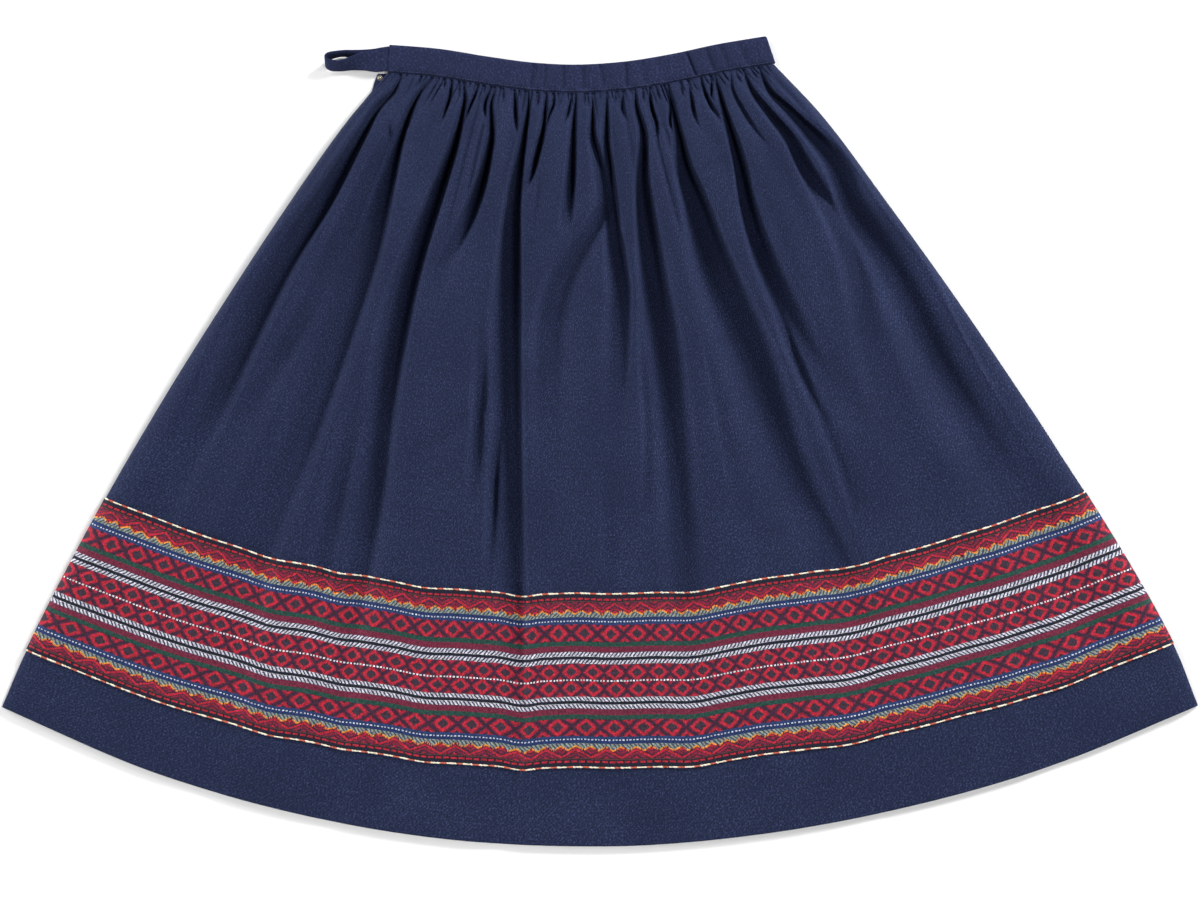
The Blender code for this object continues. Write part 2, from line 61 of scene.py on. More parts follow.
# The gathers at the waist seam, from left to right: the path of each pinch, how far it presses the
# cloth down and its width. The short wide ones are dimples in the heads of the ridges.
Pinch = namedtuple("Pinch", "path press width")
PINCHES = (
    Pinch(((-185, 334), (-195, 321)), 0.5, 5.0),
    Pinch(((-170, 330), (-175, 317), (-180, 306)), 0.4, 5.5),
    Pinch(((-163, 332), (-165, 321)), 0.7, 2.2),
    Pinch(((-148, 331), (-152, 321)), 0.5, 3.5),
    Pinch(((-141, 330), (-142, 317)), 0.8, 2.6),
    Pinch(((-135, 327), (-137, 311), (-142, 295), (-146, 280)), 0.85, 3.8),
    Pinch(((-128, 324), (-128, 307)), 0.7, 3.4),
    Pinch(((-118, 325), (-122, 317)), 0.7, 3.0),
    Pinch(((-111, 325), (-113, 317), (-118, 304), (-122, 293), (-127, 281)), 0.85, 3.2),
    Pinch(((-105, 323), (-106, 313)), 0.7, 3.2),
    Pinch(((-99, 322), (-103, 313), (-105, 304), (-104, 293), (-100, 282)), 0.85, 4.4),
    Pinch(((-88, 320), (-88, 304)), 0.7, 4.0),
    Pinch(((-81, 322), (-81, 309)), 0.6, 2.4),
    Pinch(((-78, 321), (-77, 299), (-76, 286), (-74, 268)), 0.9, 4.4),
    Pinch(((-73, 320), (-72, 306)), 0.6, 3.2),
    Pinch(((-56, 316), (-58, 299)), 0.7, 3.8),
    Pinch(((-42, 316), (-42, 308), (-46, 297), (-49, 286), (-52, 276)), 0.85, 3.2),
    Pinch(((-34, 315), (-40, 297)), 0.5, 3.6),
    Pinch(((-26, 315), (-29, 300), (-31, 294), (-37, 282)), 0.85, 3.8),
    Pinch(((-14, 315), (-15, 302)), 0.7, 3.8),
    Pinch(((0, 316), (0, 307)), 0.6, 3.4),
    Pinch(((14, 316), (13, 303)), 0.7, 3.4),
    Pinch(((21, 317), (20, 304), (22, 295), (26, 285)), 0.85, 4.8),
    Pinch(((29, 318), (31, 307)), 0.6, 2.2),
    Pinch(((39, 319), (39, 305)), 0.7, 3.6),
    Pinch(((45, 320), (46, 308), (48, 299), (51, 289), (52, 274), (53, 262)), 0.9, 3.6),
    Pinch(((51, 322), (56, 305)), 0.7, 3.6),
    Pinch(((58, 323), (64, 304), (63, 292), (66, 277), (71, 262)), 0.85, 3.2),
    Pinch(((73, 325), (76, 308)), 0.7, 3.4),
    Pinch(((80, 325), (83, 311), (85, 299), (88, 289), (94, 273)), 0.75, 5.0),
    Pinch(((84, 327), (92, 314)), 0.6, 3.2),
    Pinch(((92, 328), (97, 312), (101, 303), (106, 295), (110, 282)), 0.85, 3.2),
    Pinch(((101, 329), (101, 316), (103, 304)), 0.8, 2.6),
    Pinch(((124, 334), (129, 322)), 0.6, 3.4),
    Pinch(((137, 338), (146, 325)), 0.6, 3.4),
    Pinch(((151, 342), (157, 331)), 0.6, 2.8),
)
PINCH_NARROW = 0.65
PINCH_FADE = 0.75

# Between the pinches the cloth is puckered finely by the gathering thread, for a short way down
PUCKERS = 50
PUCKER_PRESS = 0.9
PUCKER_LENGTH = 26.0
PUCKER_SHARPNESS = 4
PUCKER_FADE = 1.5
PUCKER_UNEVEN = 0.6

# Soft ripples that run on down the cloth from the gathers, between the folds
RIPPLES = 27
RIPPLE_PRESS = 0.14
RIPPLE_START = 12.0
RIPPLE_LENGTH = 330.0
RIPPLE_SWAY = 0.3
RIPPLE_BEND = 70.0

# How puckers and ripples stray from an even spacing: how far, how often and from where
Stray = namedtuple("Stray", "far often start")
PUCKER_STRAYS = (Stray(0.45, 53, 0), Stray(0.3, 131, 0))
RIPPLE_STRAYS = (Stray(0.6, 19, 1), Stray(0.25, 47, 0))

# Each line across the cloth, at one distance (fall) down it: its two ends, and its middle's sag
Line = namedtuple("Line", "fall left_x left_y right_x right_y sag")
LINES = (
    Line(0, -193.4, 335.3, 157.4, 343.1, 22),
    Line(60, -232.1, 287.6, 201.0, 296.7, 35),
    Line(150, -283.9, 213.9, 258.0, 220.7, 50),
    Line(250, -339.0, 130.1, 319.4, 135.6, 66),
    Line(350, -392.2, 45.5, 379.5, 47.3, 80),
    Line(TRIM_TOP, -449.1, -51.9, 440.4, -45.5, 90),
    Line(TRIM_FOOT, -520.5, -189.3, 520.1, -182.9, 110),
    Line(CLOTH_LENGTH, -543.3, -241.6, 543.3, -240.2, 127),
)

# The share of its sag that a line has at each share of the way across, at the waist and below
Sag = namedtuple("Sag", "share waist below")
SAGS = (
    Sag(0.0, 0.0, 0.0),
    Sag(0.125, 0.21, 0.46),
    Sag(0.25, 0.57, 0.77),
    Sag(0.375, 0.875, 0.95),
    Sag(0.5, 1.0, 1.0),
    Sag(0.625, 0.91, 0.925),
    Sag(0.75, 0.64, 0.735),
    Sag(0.875, 0.27, 0.435),
    Sag(1.0, 0.0, 0.0),
)
WAIST_CURVE_ENDS = 150.0

# Where the folds pass through the trim its stripes dip: how far across, how wide and how deep
Dip = namedtuple("Dip", "x width depth")
DIPS = (
    Dip(-300, 22, 2.6),
    Dip(-236, 16, 1.8),
    Dip(-160, 22, 2.2),
    Dip(-72, 14, 3.2),
    Dip(-20, 20, -1.2),
    Dip(84, 24, 3.4),
    Dip(150, 24, -1.4),
    Dip(215, 16, 1.8),
    Dip(236, 18, 2.4),
    Dip(330, 24, -1.2),
    Dip(420, 22, 1.4),
)
DIPS_START = 360.0
DIPS_END = 668.0
DIPS_FADE = 70.0

# How high the front puffs up over the back before its folds are pressed into it
Puff = namedtuple("Puff", "fall height")
PUFFS = (
    Puff(0, 4.6),
    Puff(8, 9.0),
    Puff(20, 14.0),
    Puff(40, 19.5),
    Puff(90, 25.0),
    Puff(160, 25.0),
    Puff(250, 24.0),
    Puff(350, 20.5),
    Puff(TRIM_TOP, 15.5),
    Puff(TRIM_FOOT, 10.0),
    Puff(CLOTH_LENGTH, 5.6),
)
SIDE_ROLL = 16.0
SIDE_SLANT = 0.86
ROLL_AT_WAIST = 0.4
ROLL_FULL_FALL = 60.0

# The folds: the path of each valley, the share of the puff that it takes at its top, middle and
# foot, and how wide its left and right slopes are
Fold = namedtuple("Fold", "name path press left right")
FOLDS = (
    Fold("left side", ((-181, 331), (-188, 317), (-201, 302), (-213, 280), (-247, 216), (-281, 161),
                       (-353, 15), (-392, -62)), (0.95, 0.95, 0.4), 34, 14),
    Fold("left side low", ((-207, 238), (-253, 136), (-305, 44), (-368, -61)),
         (0.1, 0.5, 0.2), 26, 20),
    Fold("left roll", ((-153, 330), (-163, 318), (-177, 283), (-187, 238), (-201, 172), (-252, 23),
                       (-302, -107), (-330, -235), (-355, -330)), (0.95, 0.75, 0.3), 52, 10),
    Fold("left roll floor", ((-190, 275), (-213, 220), (-236, 165), (-258, 110)), (0.4, 0.62, 0.2),
         44, 40),
    Fold("left middle", ((-124, 325), (-123, 312), (-125, 299), (-131, 269), (-140, 239), (-166, 156),
                         (-182, 84), (-203, -61), (-222, -170), (-242, -340)), (0.95, 0.95, 0.3),
         32, 11),
    Fold("left middle branch", ((-196, 75), (-227, -8), (-239, -61), (-262, -190)),
         (0.2, 0.65, 0.2), 26, 12),
    Fold("left short", ((-95, 321), (-99, 306), (-98, 281), (-101, 257), (-108, 226), (-125, 184),
                        (-139, 158)), (0.85, 0.85, 0.2), 24, 10),
    Fold("centre left", ((-65, 317), (-65, 308), (-68, 280), (-72, 247), (-75, 205), (-75, 161),
                         (-74, 20), (-73, -71), (-71, -160), (-71, -240), (-84, -366)),
         (0.95, 0.95, 0.45), 36, 7),
    Fold("centre left line", ((-86, 44), (-94, -11), (-97, -68), (-100, -126)),
         (0.3, 0.85, 0.2), 10, 7),
    Fold("centre left soft", ((-104, 90), (-108, 20), (-113, -50)), (0.2, 0.55, 0.2), 14, 9),
    Fold("centre pinch", ((-49, 315), (-52, 283), (-57, 260), (-63, 237), (-69, 222)),
         (0.9, 0.9, 0.1), 12, 10),
    Fold("centre short", ((-22, 315), (-24, 286), (-25, 240), (-28, 188)), (0.85, 0.8, 0.1), 24, 8),
    Fold("centre soft", ((-7, 315), (-7, 283), (-1, 256), (7, 219), (-12, 180), (-32, 142), (-41, 83),
                         (-41, -70), (-36, -170), (-25, -330)), (0.8, 0.38, 0.2), 34, 24),
    Fold("centre right", ((6, 316), (6, 280), (10, 248), (18, 180), (24, 129), (22, 56), (14, 0)),
         (0.85, 0.65, 0.1), 30, 8),
    Fold("thin roll", ((40, 149), (41, 63), (44, 5), (41, -53)), (0.2, 0.4, 0.2), 9, 16),
    Fold("right middle", ((32, 318), (33, 304), (39, 283), (40, 238), (49, 166), (63, 77), (74, -68),
                          (80, -160), (82, -345)), (0.95, 0.9, 0.3), 29, 20),
    Fold("right roll", ((62, 323), (66, 304), (73, 277), (80, 250), (93, 220), (112, 170), (153, 77),
                        (186, -25), (223, -107), (246, -200), (255, -330)), (0.95, 0.9, 0.35), 60, 12),
    Fold("right short", ((105, 331), (110, 310), (121, 275), (127, 253), (137, 207), (154, 158),
                         (191, 85), (224, 25)), (0.9, 0.8, 0.2), 22, 20),
    Fold("right short line", ((154, 144), (174, 85), (203, 19)), (0.3, 0.55, 0.2), 10, 8),
    Fold("right fading", ((119, 335), (120, 321), (128, 303), (142, 280), (156, 264)),
         (0.75, 0.5, 0.1), 12, 12),
    Fold("right soft", ((130, 337), (140, 315), (155, 296), (173, 274), (182, 258), (227, 178),
                        (247, 92), (270, 10), (300, -60), (330, -150)), (0.9, 0.3, 0.15), 26, 20),
    Fold("right side", ((144, 341), (155, 317), (173, 300), (213, 259), (238, 214), (271, 167),
                        (321, 68), (389, -62), (440, -160), (490, -235)), (0.9, 0.85, 0.25), 50, 20),
    Fold("left diagonal", ((-100, 36), (-118, 22), (-137, 4), (-166, -12)), (0.2, 0.22, 0.1), 9, 10),
    Fold("left low soft", ((-160, -14), (-166, -60), (-173, -113)), (0.15, 0.2, 0.1), 16, 18),
    Fold("centre low soft", ((6, -30), (9, -60), (12, -108), (14, -160)), (0.15, 0.3, 0.1), 16, 12),
    Fold("right gradient", ((84, 135), (96, 101), (109, 29), (123, -44), (141, -108)),
         (0.1, 0.18, 0.05), 10, 14),
    Fold("right low line", ((203, 19), (228, -50), (238, -95)), (0.25, 0.3, 0.1), 10, 12),
    Fold("hem left", ((-176, -120), (-184, -200), (-191, -330)), (0.1, 0.3, 0.4), 24, 20),
    Fold("hem middle", ((2, -200), (0, -260), (0, -345)), (0.1, 0.3, 0.4), 20, 20),
    Fold("hem right", ((170, -130), (180, -230), (187, -330)), (0.1, 0.3, 0.4), 24, 22),
    Fold("hem far right", ((372, -110), (394, -215), (410, -290)), (0.1, 0.4, 0.5), 26, 26),
    Fold("right edge", ((270, 199), (302, 164), (328, 109), (366, 39), (403, -25)),
         (0.1, 0.3, 0.1), 8, 28),
)

# A fold fades at its ends, and it is narrow and sharp at the gathers and widens from there down
FADE = 22.0
SEAM_WIDTH = 5.5
ROUND_FALL = 130.0
FULL_WIDTH_FALL = 285.0

# Low on the skirt the folds are a little broader on the left and twice as soft on the right
LOW_START = 260.0
LOW_OVER = 180.0
FOOT_WIDTH = 1.05
FOOT_SOFTNESS = 2.0

# The share of the left slope that its wall takes, at the waist and low down, and its floor's fall
WALL_SHARE = 0.3
LOW_WALL_SHARE = 0.75
GENTLE_FALL = 400.0
FLOOR_SLOPE = 0.34

# The rounding of the ridges, the radius at the bottom of a pinch, and the deepest press
ROUNDING = 0.18
ROUNDING_WIDTH = 34.0
FULL_PRESS_FALL = 1.5
VALLEY_RADIUS = 1.2
DEEPEST = 0.96

# Rows of the fine mesh: from one fall to the next in steps, close where the gathers and edges are
Run = namedtuple("Run", "to step")
FINE_RUNS = (Run(2, 0.5), Run(40, 2), Run(70, 3), Run(120, 4), Run(180, 6), Run(300, 8), Run(444, 9),
             Run(456, 3), Run(610, 14), Run(616, 3), Run(676, 6), Run(682, 2), Run(685, 0.75))
FINE_COLUMNS = 480
HEM_ROUND = 2.0
HEM_DROP = 0.7

# The cloth turns down round its sides: how far out and down, for its near and its far column. The
# left side is open at the waist, where it turns the least, and closes below.
WRAP_OUT = 0.7
WRAP_DROP = 2.2
WRAP_LEAST = 0.15
WRAPS = ((1.0, 0.4), (0.7, 1.0))
WRAP_RUN = np.array([-3.0, -1.5])
OPEN_TO = 30.0
CLOSES_OVER = 20.0


def smooth(at, known_at, known):
    """A smooth curve through the known values, with no overshoot where they level out."""
    at = np.asarray(at, float)
    x = np.asarray(known_at, float)
    y = np.asarray(known, float)
    slope = np.diff(y) / np.diff(x)
    inner = np.where(slope[1:] * slope[:-1] > 0, (slope[1:] + slope[:-1]) / 2, 0.0)
    tangent = np.concatenate([[slope[0]], inner, [slope[-1]]])
    i = np.clip(np.searchsorted(x, at, side="right") - 1, 0, len(x) - 2)
    step = x[i + 1] - x[i]
    t = np.clip((at - x[i]) / step, 0, 1)
    rise = y[i] * (1 + 2 * t) * (1 - t) ** 2 + y[i + 1] * t * t * (3 - 2 * t)
    return rise + step * (tangent[i] * t * (1 - t) ** 2 - tangent[i + 1] * t * t * (1 - t))


def ease(value):
    """From 0 to 1, level at both ends."""
    t = np.clip(value, 0, 1)
    return t * t * (3 - 2 * t)


def between(start, end, share):
    """The value at a share of the way from a start to an end."""
    return start + (end - start) * share


def cloth_point(share, fall):
    """Where the cloth lies in plan: share runs from its left edge to its right, fall down it."""
    share, fall = np.broadcast_arrays(np.asarray(share, float), np.asarray(fall, float))
    falls = [line.fall for line in LINES]
    left_x, left_y, right_x, right_y, sag = (
        smooth(fall, falls, [getattr(line, column) for line in LINES])
        for column in ("left_x", "left_y", "right_x", "right_y", "sag")
    )
    shares = [row.share for row in SAGS]
    at_waist = smooth(share, shares, [row.waist for row in SAGS])
    below = smooth(share, shares, [row.below for row in SAGS])
    arc = between(at_waist, below, ease(fall / WAIST_CURVE_ENDS))
    x = between(left_x, right_x, share)
    y = between(left_y, right_y, share) - sag * arc
    dips = sum(dip.depth * np.exp(-((x - dip.x) / dip.width) ** 2) for dip in DIPS)
    return x, y - dips * ease((fall - DIPS_START) / DIPS_FADE) * ease((DIPS_END - fall) / DIPS_FADE)


def back_level(fall):
    """The height of the back panel's upper face: it is lifted where the trim lies under it."""
    fall = np.asarray(fall, float)
    lift = ease((fall - TRIM_TOP + LIFT_START) / LIFT_RUN)
    lift = lift * ease((TRIM_FOOT + LIFT_START - fall) / LIFT_RUN)
    return WOOL + (TRIM_CLOTH + SEAM_GAP) * lift


def valley(across, left, right):
    """The form of a valley: 1 along its bottom, 0 past its two slopes."""
    distance = np.hypot(across, VALLEY_RADIUS) - VALLEY_RADIUS
    return np.clip(1 - distance / np.where(across < 0, left, right), 0, 1) ** 2


def from_path(path, x, y):
    """How far each place is to the side of a path, and how far down it, from 0 to 1."""
    points = np.array(path[::-1], float)
    centre = smooth(y, points[:, 1], points[:, 0])
    lean = (smooth(y + 1, points[:, 1], points[:, 0]) - smooth(y - 1, points[:, 1], points[:, 0])) / 2
    top, foot = points[-1, 1], points[0, 1]
    return (x - centre) / np.sqrt(1 + lean * lean), (top - y) / (top - foot)


def fold_press(fold, x, y, fall):
    """The share of the puff's height that one fold takes away at each place. The left side of a
    fold is a wall and a broad floor that slopes down to the right, and its right side is one wall."""
    across, along = from_path(fold.path, x, y)
    wider = ease(fall / FULL_WIDTH_FALL)
    lower = ease((fall - LOW_START) / LOW_OVER)
    left = between(SEAM_WIDTH, fold.left, wider * between(1, FOOT_WIDTH, lower))
    right = between(SEAM_WIDTH, fold.right, wider * between(1, FOOT_SOFTNESS, lower))
    t = np.clip(np.abs(across) / np.where(across < 0, left, right), 0, 1)
    wall = between(WALL_SHARE, LOW_WALL_SHARE, ease(fall / GENTLE_FALL))
    broad = ease((1 - t) / wall) * (1 - FLOOR_SLOPE * t)
    form = np.where(across < 0, broad, ease(1 - t))
    form = between((1 - t) ** 2, form, ease(fall / ROUND_FALL))
    rounding = ROUNDING * wider * np.clip(1 - np.abs(across) / ROUNDING_WIDTH, 0, 1) ** 2
    press = smooth(np.clip(along, 0, 1), (0, 0.5, 1), fold.press)
    top, foot = fold.path[0][1], fold.path[-1][1]
    fade = ease(1 - (y - top) / FADE) * ease(1 + (y - foot) / FADE)
    return press * fade * (form * (1 - rounding) + rounding)


def pinch_press(pinch, x, y):
    """The same for one of the small gathers at the waist seam."""
    across, along = from_path(pinch.path, x, y)
    width = pinch.width * between(PINCH_NARROW, 1, np.clip(along, 0, 1))
    fades = ease((1 - along) / PINCH_FADE)
    return pinch.press * fades * valley(across, width, width)


def stray(at, strays):
    """How far something strays from its even place: the sum of a few waves."""
    return sum(wave.far * np.sin(wave.often * at + wave.start) for wave in strays)


def pucker_press(share, fall):
    """The same for the fine puckers right under the seam, which are unevenly spaced and long."""
    phase = PUCKERS * share + stray(share, PUCKER_STRAYS)
    length = PUCKER_LENGTH * (1 + PUCKER_UNEVEN * np.sin(37 * share) * np.sin(71 * share + 1))
    fade = (1 - np.clip(fall / length, 0, 1)) ** PUCKER_FADE
    return PUCKER_PRESS * np.cos(np.pi * phase) ** PUCKER_SHARPNESS * fade


def ripple_press(share, fall):
    """The same for the soft ripples, which begin at the seam and fade out towards the trim."""
    phase = RIPPLES * share + stray(share, RIPPLE_STRAYS)
    phase = phase + RIPPLE_SWAY * np.sin(fall / RIPPLE_BEND + 11 * share)
    fade = ease(fall / RIPPLE_START) * (1 - ease(fall / RIPPLE_LENGTH))
    return RIPPLE_PRESS * np.sin(np.pi * phase) ** 2 * fade


def front_height(share, fall):
    """The height of the front panel's outer face above the surface that the skirt lies on."""
    share, fall = np.broadcast_arrays(np.asarray(share, float), np.asarray(fall, float))
    x, y = cloth_point(share, fall)
    lowest = back_level(fall) + SEAM_GAP + WOOL
    level = smooth(fall, [row.fall for row in PUFFS], [row.height for row in PUFFS])
    presses = sum(fold_press(fold, x, y, fall) ** 3 for fold in FOLDS)
    presses = presses + sum(pinch_press(pinch, x, y) ** 3 for pinch in PINCHES)
    presses = presses + pucker_press(share, fall) ** 3 + ripple_press(share, fall) ** 3
    press = np.minimum(np.cbrt(presses), DEEPEST) * ease(fall / FULL_PRESS_FALL)
    left_x, right_x = (cloth_point(np.full_like(fall, side), fall)[0] for side in (0, 1))
    inside = np.minimum(x - left_x, right_x - x) * SIDE_SLANT
    roll = SIDE_ROLL * between(ROLL_AT_WAIST, 1, ease(fall / ROLL_FULL_FALL))
    side = np.sqrt(1 - (1 - np.clip(inside / roll, 0, 1)) ** 2)
    return between(lowest, level, (1 - press) * side)


def front_points(share, fall, rise=0.0):
    """Points on the front panel's outer face, or so far above it."""
    x, y = cloth_point(share, fall)
    return np.stack([x, y, front_height(share, fall) + rise], axis=-1)


def flat_cloth(across, down):
    """Rows and columns of points on a cloth laid flat, so far across it and so far down it."""
    return np.stack(np.meshgrid(across, down), axis=-1)


def run_falls(runs):
    """The falls of all the rows: each run goes on from the last in even steps."""
    falls = [0.0]
    for run in runs:
        count = max(1, round((run.to - falls[-1]) / run.step))
        falls += list(np.linspace(falls[-1], run.to, count + 1)[1:])
    if len(falls) % 2 == 0:
        falls.insert(-1, (falls[-1] + falls[-2]) / 2)
    return np.array(falls)


def wide_run(shares, width):
    """How far across the flat cloth each column is, with the two more at each side."""
    return np.concatenate([WRAP_RUN, shares * width, width - WRAP_RUN[::-1]])


def with_wraps(grid, falls, out, drop):
    """Two more columns at each side, where the cloth turns down round the side to the back. The
    left side stays open at the waist, where the placket is."""
    closed = np.clip(ease((falls - OPEN_TO) / CLOSES_OVER), WRAP_LEAST, 1)[:, None]
    columns = [grid]
    for out_share, drop_share in WRAPS:
        turned = np.array([out_share * out, 0.0, -drop_share * drop])
        columns.insert(0, (grid[:, 0] + closed * turned * (-1, 1, 1))[:, None])
        columns.append((grid[:, -1] + turned)[:, None])
    return np.concatenate(columns, axis=1)


def underside(grid, thick, floor=None):
    """The lower face of a wall, at every second point of its upper face, thicker in height where
    the cloth is steep. At the wraps it is further in, not lower."""
    along = np.gradient(grid, axis=1)
    down = np.gradient(grid, axis=0)
    normal = np.cross(down, along)
    steep = np.linalg.norm(normal, axis=2) / np.maximum(np.abs(normal[:, :, 2]), 1e-6)
    lower = grid.copy()
    lower[:, :, 2] -= thick * np.clip(steep, 1, STEEPEST_WALL)
    if floor is not None:
        highest = grid[:, :, 2] - THINNEST_WALL * thick
        lower[:, :, 2] = np.clip(lower[:, :, 2], floor[:, None], highest)
    lower[:, :2] = grid[:, :2] + (thick, 0, 0)
    lower[:, -2:] = grid[:, -2:] - (thick, 0, 0)
    return lower[::2, ::2]


def shell_faces(rows, columns):
    """The faces of a closed wall: a fine upper grid and a lower one with half the rows and columns."""
    lower_rows, lower_columns = rows // 2 + 1, columns // 2 + 1
    start = rows * columns

    def upper(r, c):
        return r * columns + c

    def lower(r, c):
        return start + r * lower_columns + c

    faces = []
    for r in range(rows - 1):
        for c in range(columns - 1):
            faces.append((upper(r, c), upper(r + 1, c), upper(r + 1, c + 1), upper(r, c + 1)))
    for r in range(lower_rows - 1):
        for c in range(lower_columns - 1):
            faces.append((lower(r, c), lower(r, c + 1), lower(r + 1, c + 1), lower(r + 1, c)))
    last, edge = rows - 1, columns - 1
    for k in range(lower_columns - 1):
        c = 2 * k
        faces.append((upper(0, c), upper(0, c + 1), upper(0, c + 2), lower(0, k + 1), lower(0, k)))
        faces.append((upper(last, c + 2), upper(last, c + 1), upper(last, c),
                      lower(lower_rows - 1, k), lower(lower_rows - 1, k + 1)))
    for k in range(lower_rows - 1):
        r = 2 * k
        faces.append((upper(r + 2, 0), upper(r + 1, 0), upper(r, 0), lower(k, 0), lower(k + 1, 0)))
        faces.append((upper(r, edge), upper(r + 1, edge), upper(r + 2, edge),
                      lower(k + 1, lower_columns - 1), lower(k, lower_columns - 1)))
    return faces


def add_piece(name, points, faces, finish, weave=None, sharp=0.9):
    """A named object from points in millimetres. The weave map says where each point is on the flat
    cloth, in millimetres, as a share of the map's span. Edges stay sharp from the given angle on."""
    mesh = bpy.data.meshes.new(name)
    mesh.from_pydata((np.asarray(points, float) * MM).tolist(), [], faces)
    mesh.validate()
    if weave is not None:
        corners = np.empty(len(mesh.loops), int)
        mesh.loops.foreach_get("vertex_index", corners)
        layer = mesh.uv_layers.new(name="weave")
        layer.data.foreach_set("uv", (np.asarray(weave, float)[corners] / WEAVE_SPAN).ravel())
    mesh.materials.append(finish)
    mesh.shade_smooth()
    mesh.set_sharp_from_angle(angle=sharp)
    obj = bpy.data.objects.new(name, mesh)
    bpy.context.scene.collection.objects.link(obj)
    return obj


def add_shell(name, grid, lower, finish, flat):
    """A closed cloth wall from its upper grid, its lower face and its points on the flat cloth."""
    rows, columns = grid.shape[:2]
    points = np.concatenate([grid.reshape(-1, 3), lower.reshape(-1, 3)])
    weave = np.concatenate([flat.reshape(-1, 2), flat[::2, ::2].reshape(-1, 2)])
    return add_piece(name, points, shell_faces(rows, columns), finish, weave)


def linear(colour):
    """A material colour from an sRGB hex value."""
    parts = [int(colour[k:k + 2], 16) / 255 for k in (1, 3, 5)]
    return (*[c / 12.92 if c <= 0.04045 else ((c + 0.055) / 1.055) ** 2.4 for c in parts], 1.0)


def feed(node, inputs):
    """Give a node its inputs. They are named or numbered, and each is a value, a node whose first
    output feeds it, or an output."""
    for place, value in inputs.items():
        if isinstance(value, bpy.types.Node):
            value = value.outputs[0]
        if isinstance(value, bpy.types.NodeSocket):
            node.id_data.links.new(value, node.inputs[place])
        else:
            node.inputs[place].default_value = value


def add_node(tree, kind, settings=None, inputs=None):
    """One node of a tree with its settings and inputs."""
    node = tree.nodes.new(kind)
    for name, value in (settings or {}).items():
        setattr(node, name, value)
    feed(node, inputs or {})
    return node


def new_finish(name):
    """An empty material with its shader, and the tree that they are in."""
    made = bpy.data.materials.new(name)
    made.use_nodes = True
    return made, made.node_tree, made.node_tree.nodes["Principled BSDF"]


def set_stops(ramp, stops, interpolation="LINEAR"):
    """Give a colour ramp its stops, each a place from 0 to 1 and a hex colour."""
    ramp.color_ramp.interpolation = interpolation
    elements = ramp.color_ramp.elements
    while len(elements) < len(stops):
        elements.new(1.0)
    for element, (place, colour) in zip(elements, stops):
        element.position = place
        element.color = linear(colour)


# The span of the weave maps, and the grain of the wool as it is drawn
WEAVE_SPAN = 1200.0
YARN = 1.9
TWILL_PITCH = 1.9
NAP_PATCH = 70.0


def wool_finish(name, dark, middle, light, fleck):
    """Worsted twill with a brushed nap: matt, with flecks of paler fibre and a faint twill line. The
    real yarns are 0.4 mm and the twill 0.6 mm, drawn coarser here so that they show at all."""
    made, tree, shader = new_finish(name)
    flat = add_node(tree, "ShaderNodeUVMap", {"uv_map": "weave"})
    mm = add_node(tree, "ShaderNodeVectorMath", {"operation": "SCALE"}, {0: flat, "Scale": WEAVE_SPAN})
    yarn = add_node(tree, "ShaderNodeTexNoise", {"noise_dimensions": "2D"},
                    {"Vector": mm, "Scale": 1 / YARN, "Detail": 2.5, "Roughness": 0.65})
    streak_place = add_node(tree, "ShaderNodeMapping", {}, {"Vector": mm, "Scale": (0.8, 0.12, 1)})
    streak = add_node(tree, "ShaderNodeTexNoise", {"noise_dimensions": "2D"},
                      {"Vector": streak_place, "Scale": 1.0, "Detail": 2.0})
    patch = add_node(tree, "ShaderNodeTexNoise", {"noise_dimensions": "2D"},
                     {"Vector": mm, "Scale": 1 / NAP_PATCH, "Detail": 3.0})
    twill = add_node(tree, "ShaderNodeTexWave", {"bands_direction": "DIAGONAL"},
                     {"Vector": mm, "Scale": 0.31 / TWILL_PITCH, "Distortion": 0.6, "Detail": 1.0})
    grain = 0.015
    for part, weight in ((yarn, 0.8), (streak, 0.2), (patch, 0.12), (twill.outputs["Fac"], 0.06)):
        grain = add_node(tree, "ShaderNodeMath", {"operation": "MULTIPLY_ADD"},
                         {0: part, 1: weight, 2: grain})
    colour = add_node(tree, "ShaderNodeValToRGB", {}, {0: grain})
    set_stops(colour, ((0.4, dark), (0.56, middle), (0.68, light), (0.8, fleck)))
    relief = add_node(tree, "ShaderNodeBump", {}, {"Strength": 0.5, "Distance": 0.00035, "Height": grain})
    rough = add_node(tree, "ShaderNodeMapRange", {}, {0: yarn, 3: 0.8, 4: 0.95})
    feed(shader, {"Base Color": colour, "Normal": relief, "Roughness": rough, "Specular IOR Level": 0.12,
                  "Sheen Weight": 0.05, "Sheen Roughness": 0.5, "Sheen Tint": linear("#8C97BE")})
    return made


front_wool = wool_finish("navy worsted wool twill", "#12182E", "#181F38", "#212944", "#363E61")
falls = run_falls(FINE_RUNS)
shares = np.linspace(0, 1, FINE_COLUMNS + 1)
front = front_points(shares, falls[:, None])
front[:, :, 2] -= HEM_DROP * np.clip((falls - CLOTH_LENGTH + HEM_ROUND) / HEM_ROUND, 0, 1)[:, None] ** 3
front = with_wraps(front, falls, WRAP_OUT, WRAP_DROP)
front_panel = add_shell("front_panel", front, underside(front, WOOL, back_level(falls) + SEAM_GAP),
                        front_wool, flat_cloth(wide_run(shares, CLOTH_ROUND), falls))
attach(front_panel, "root")
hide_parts("skirt_front")

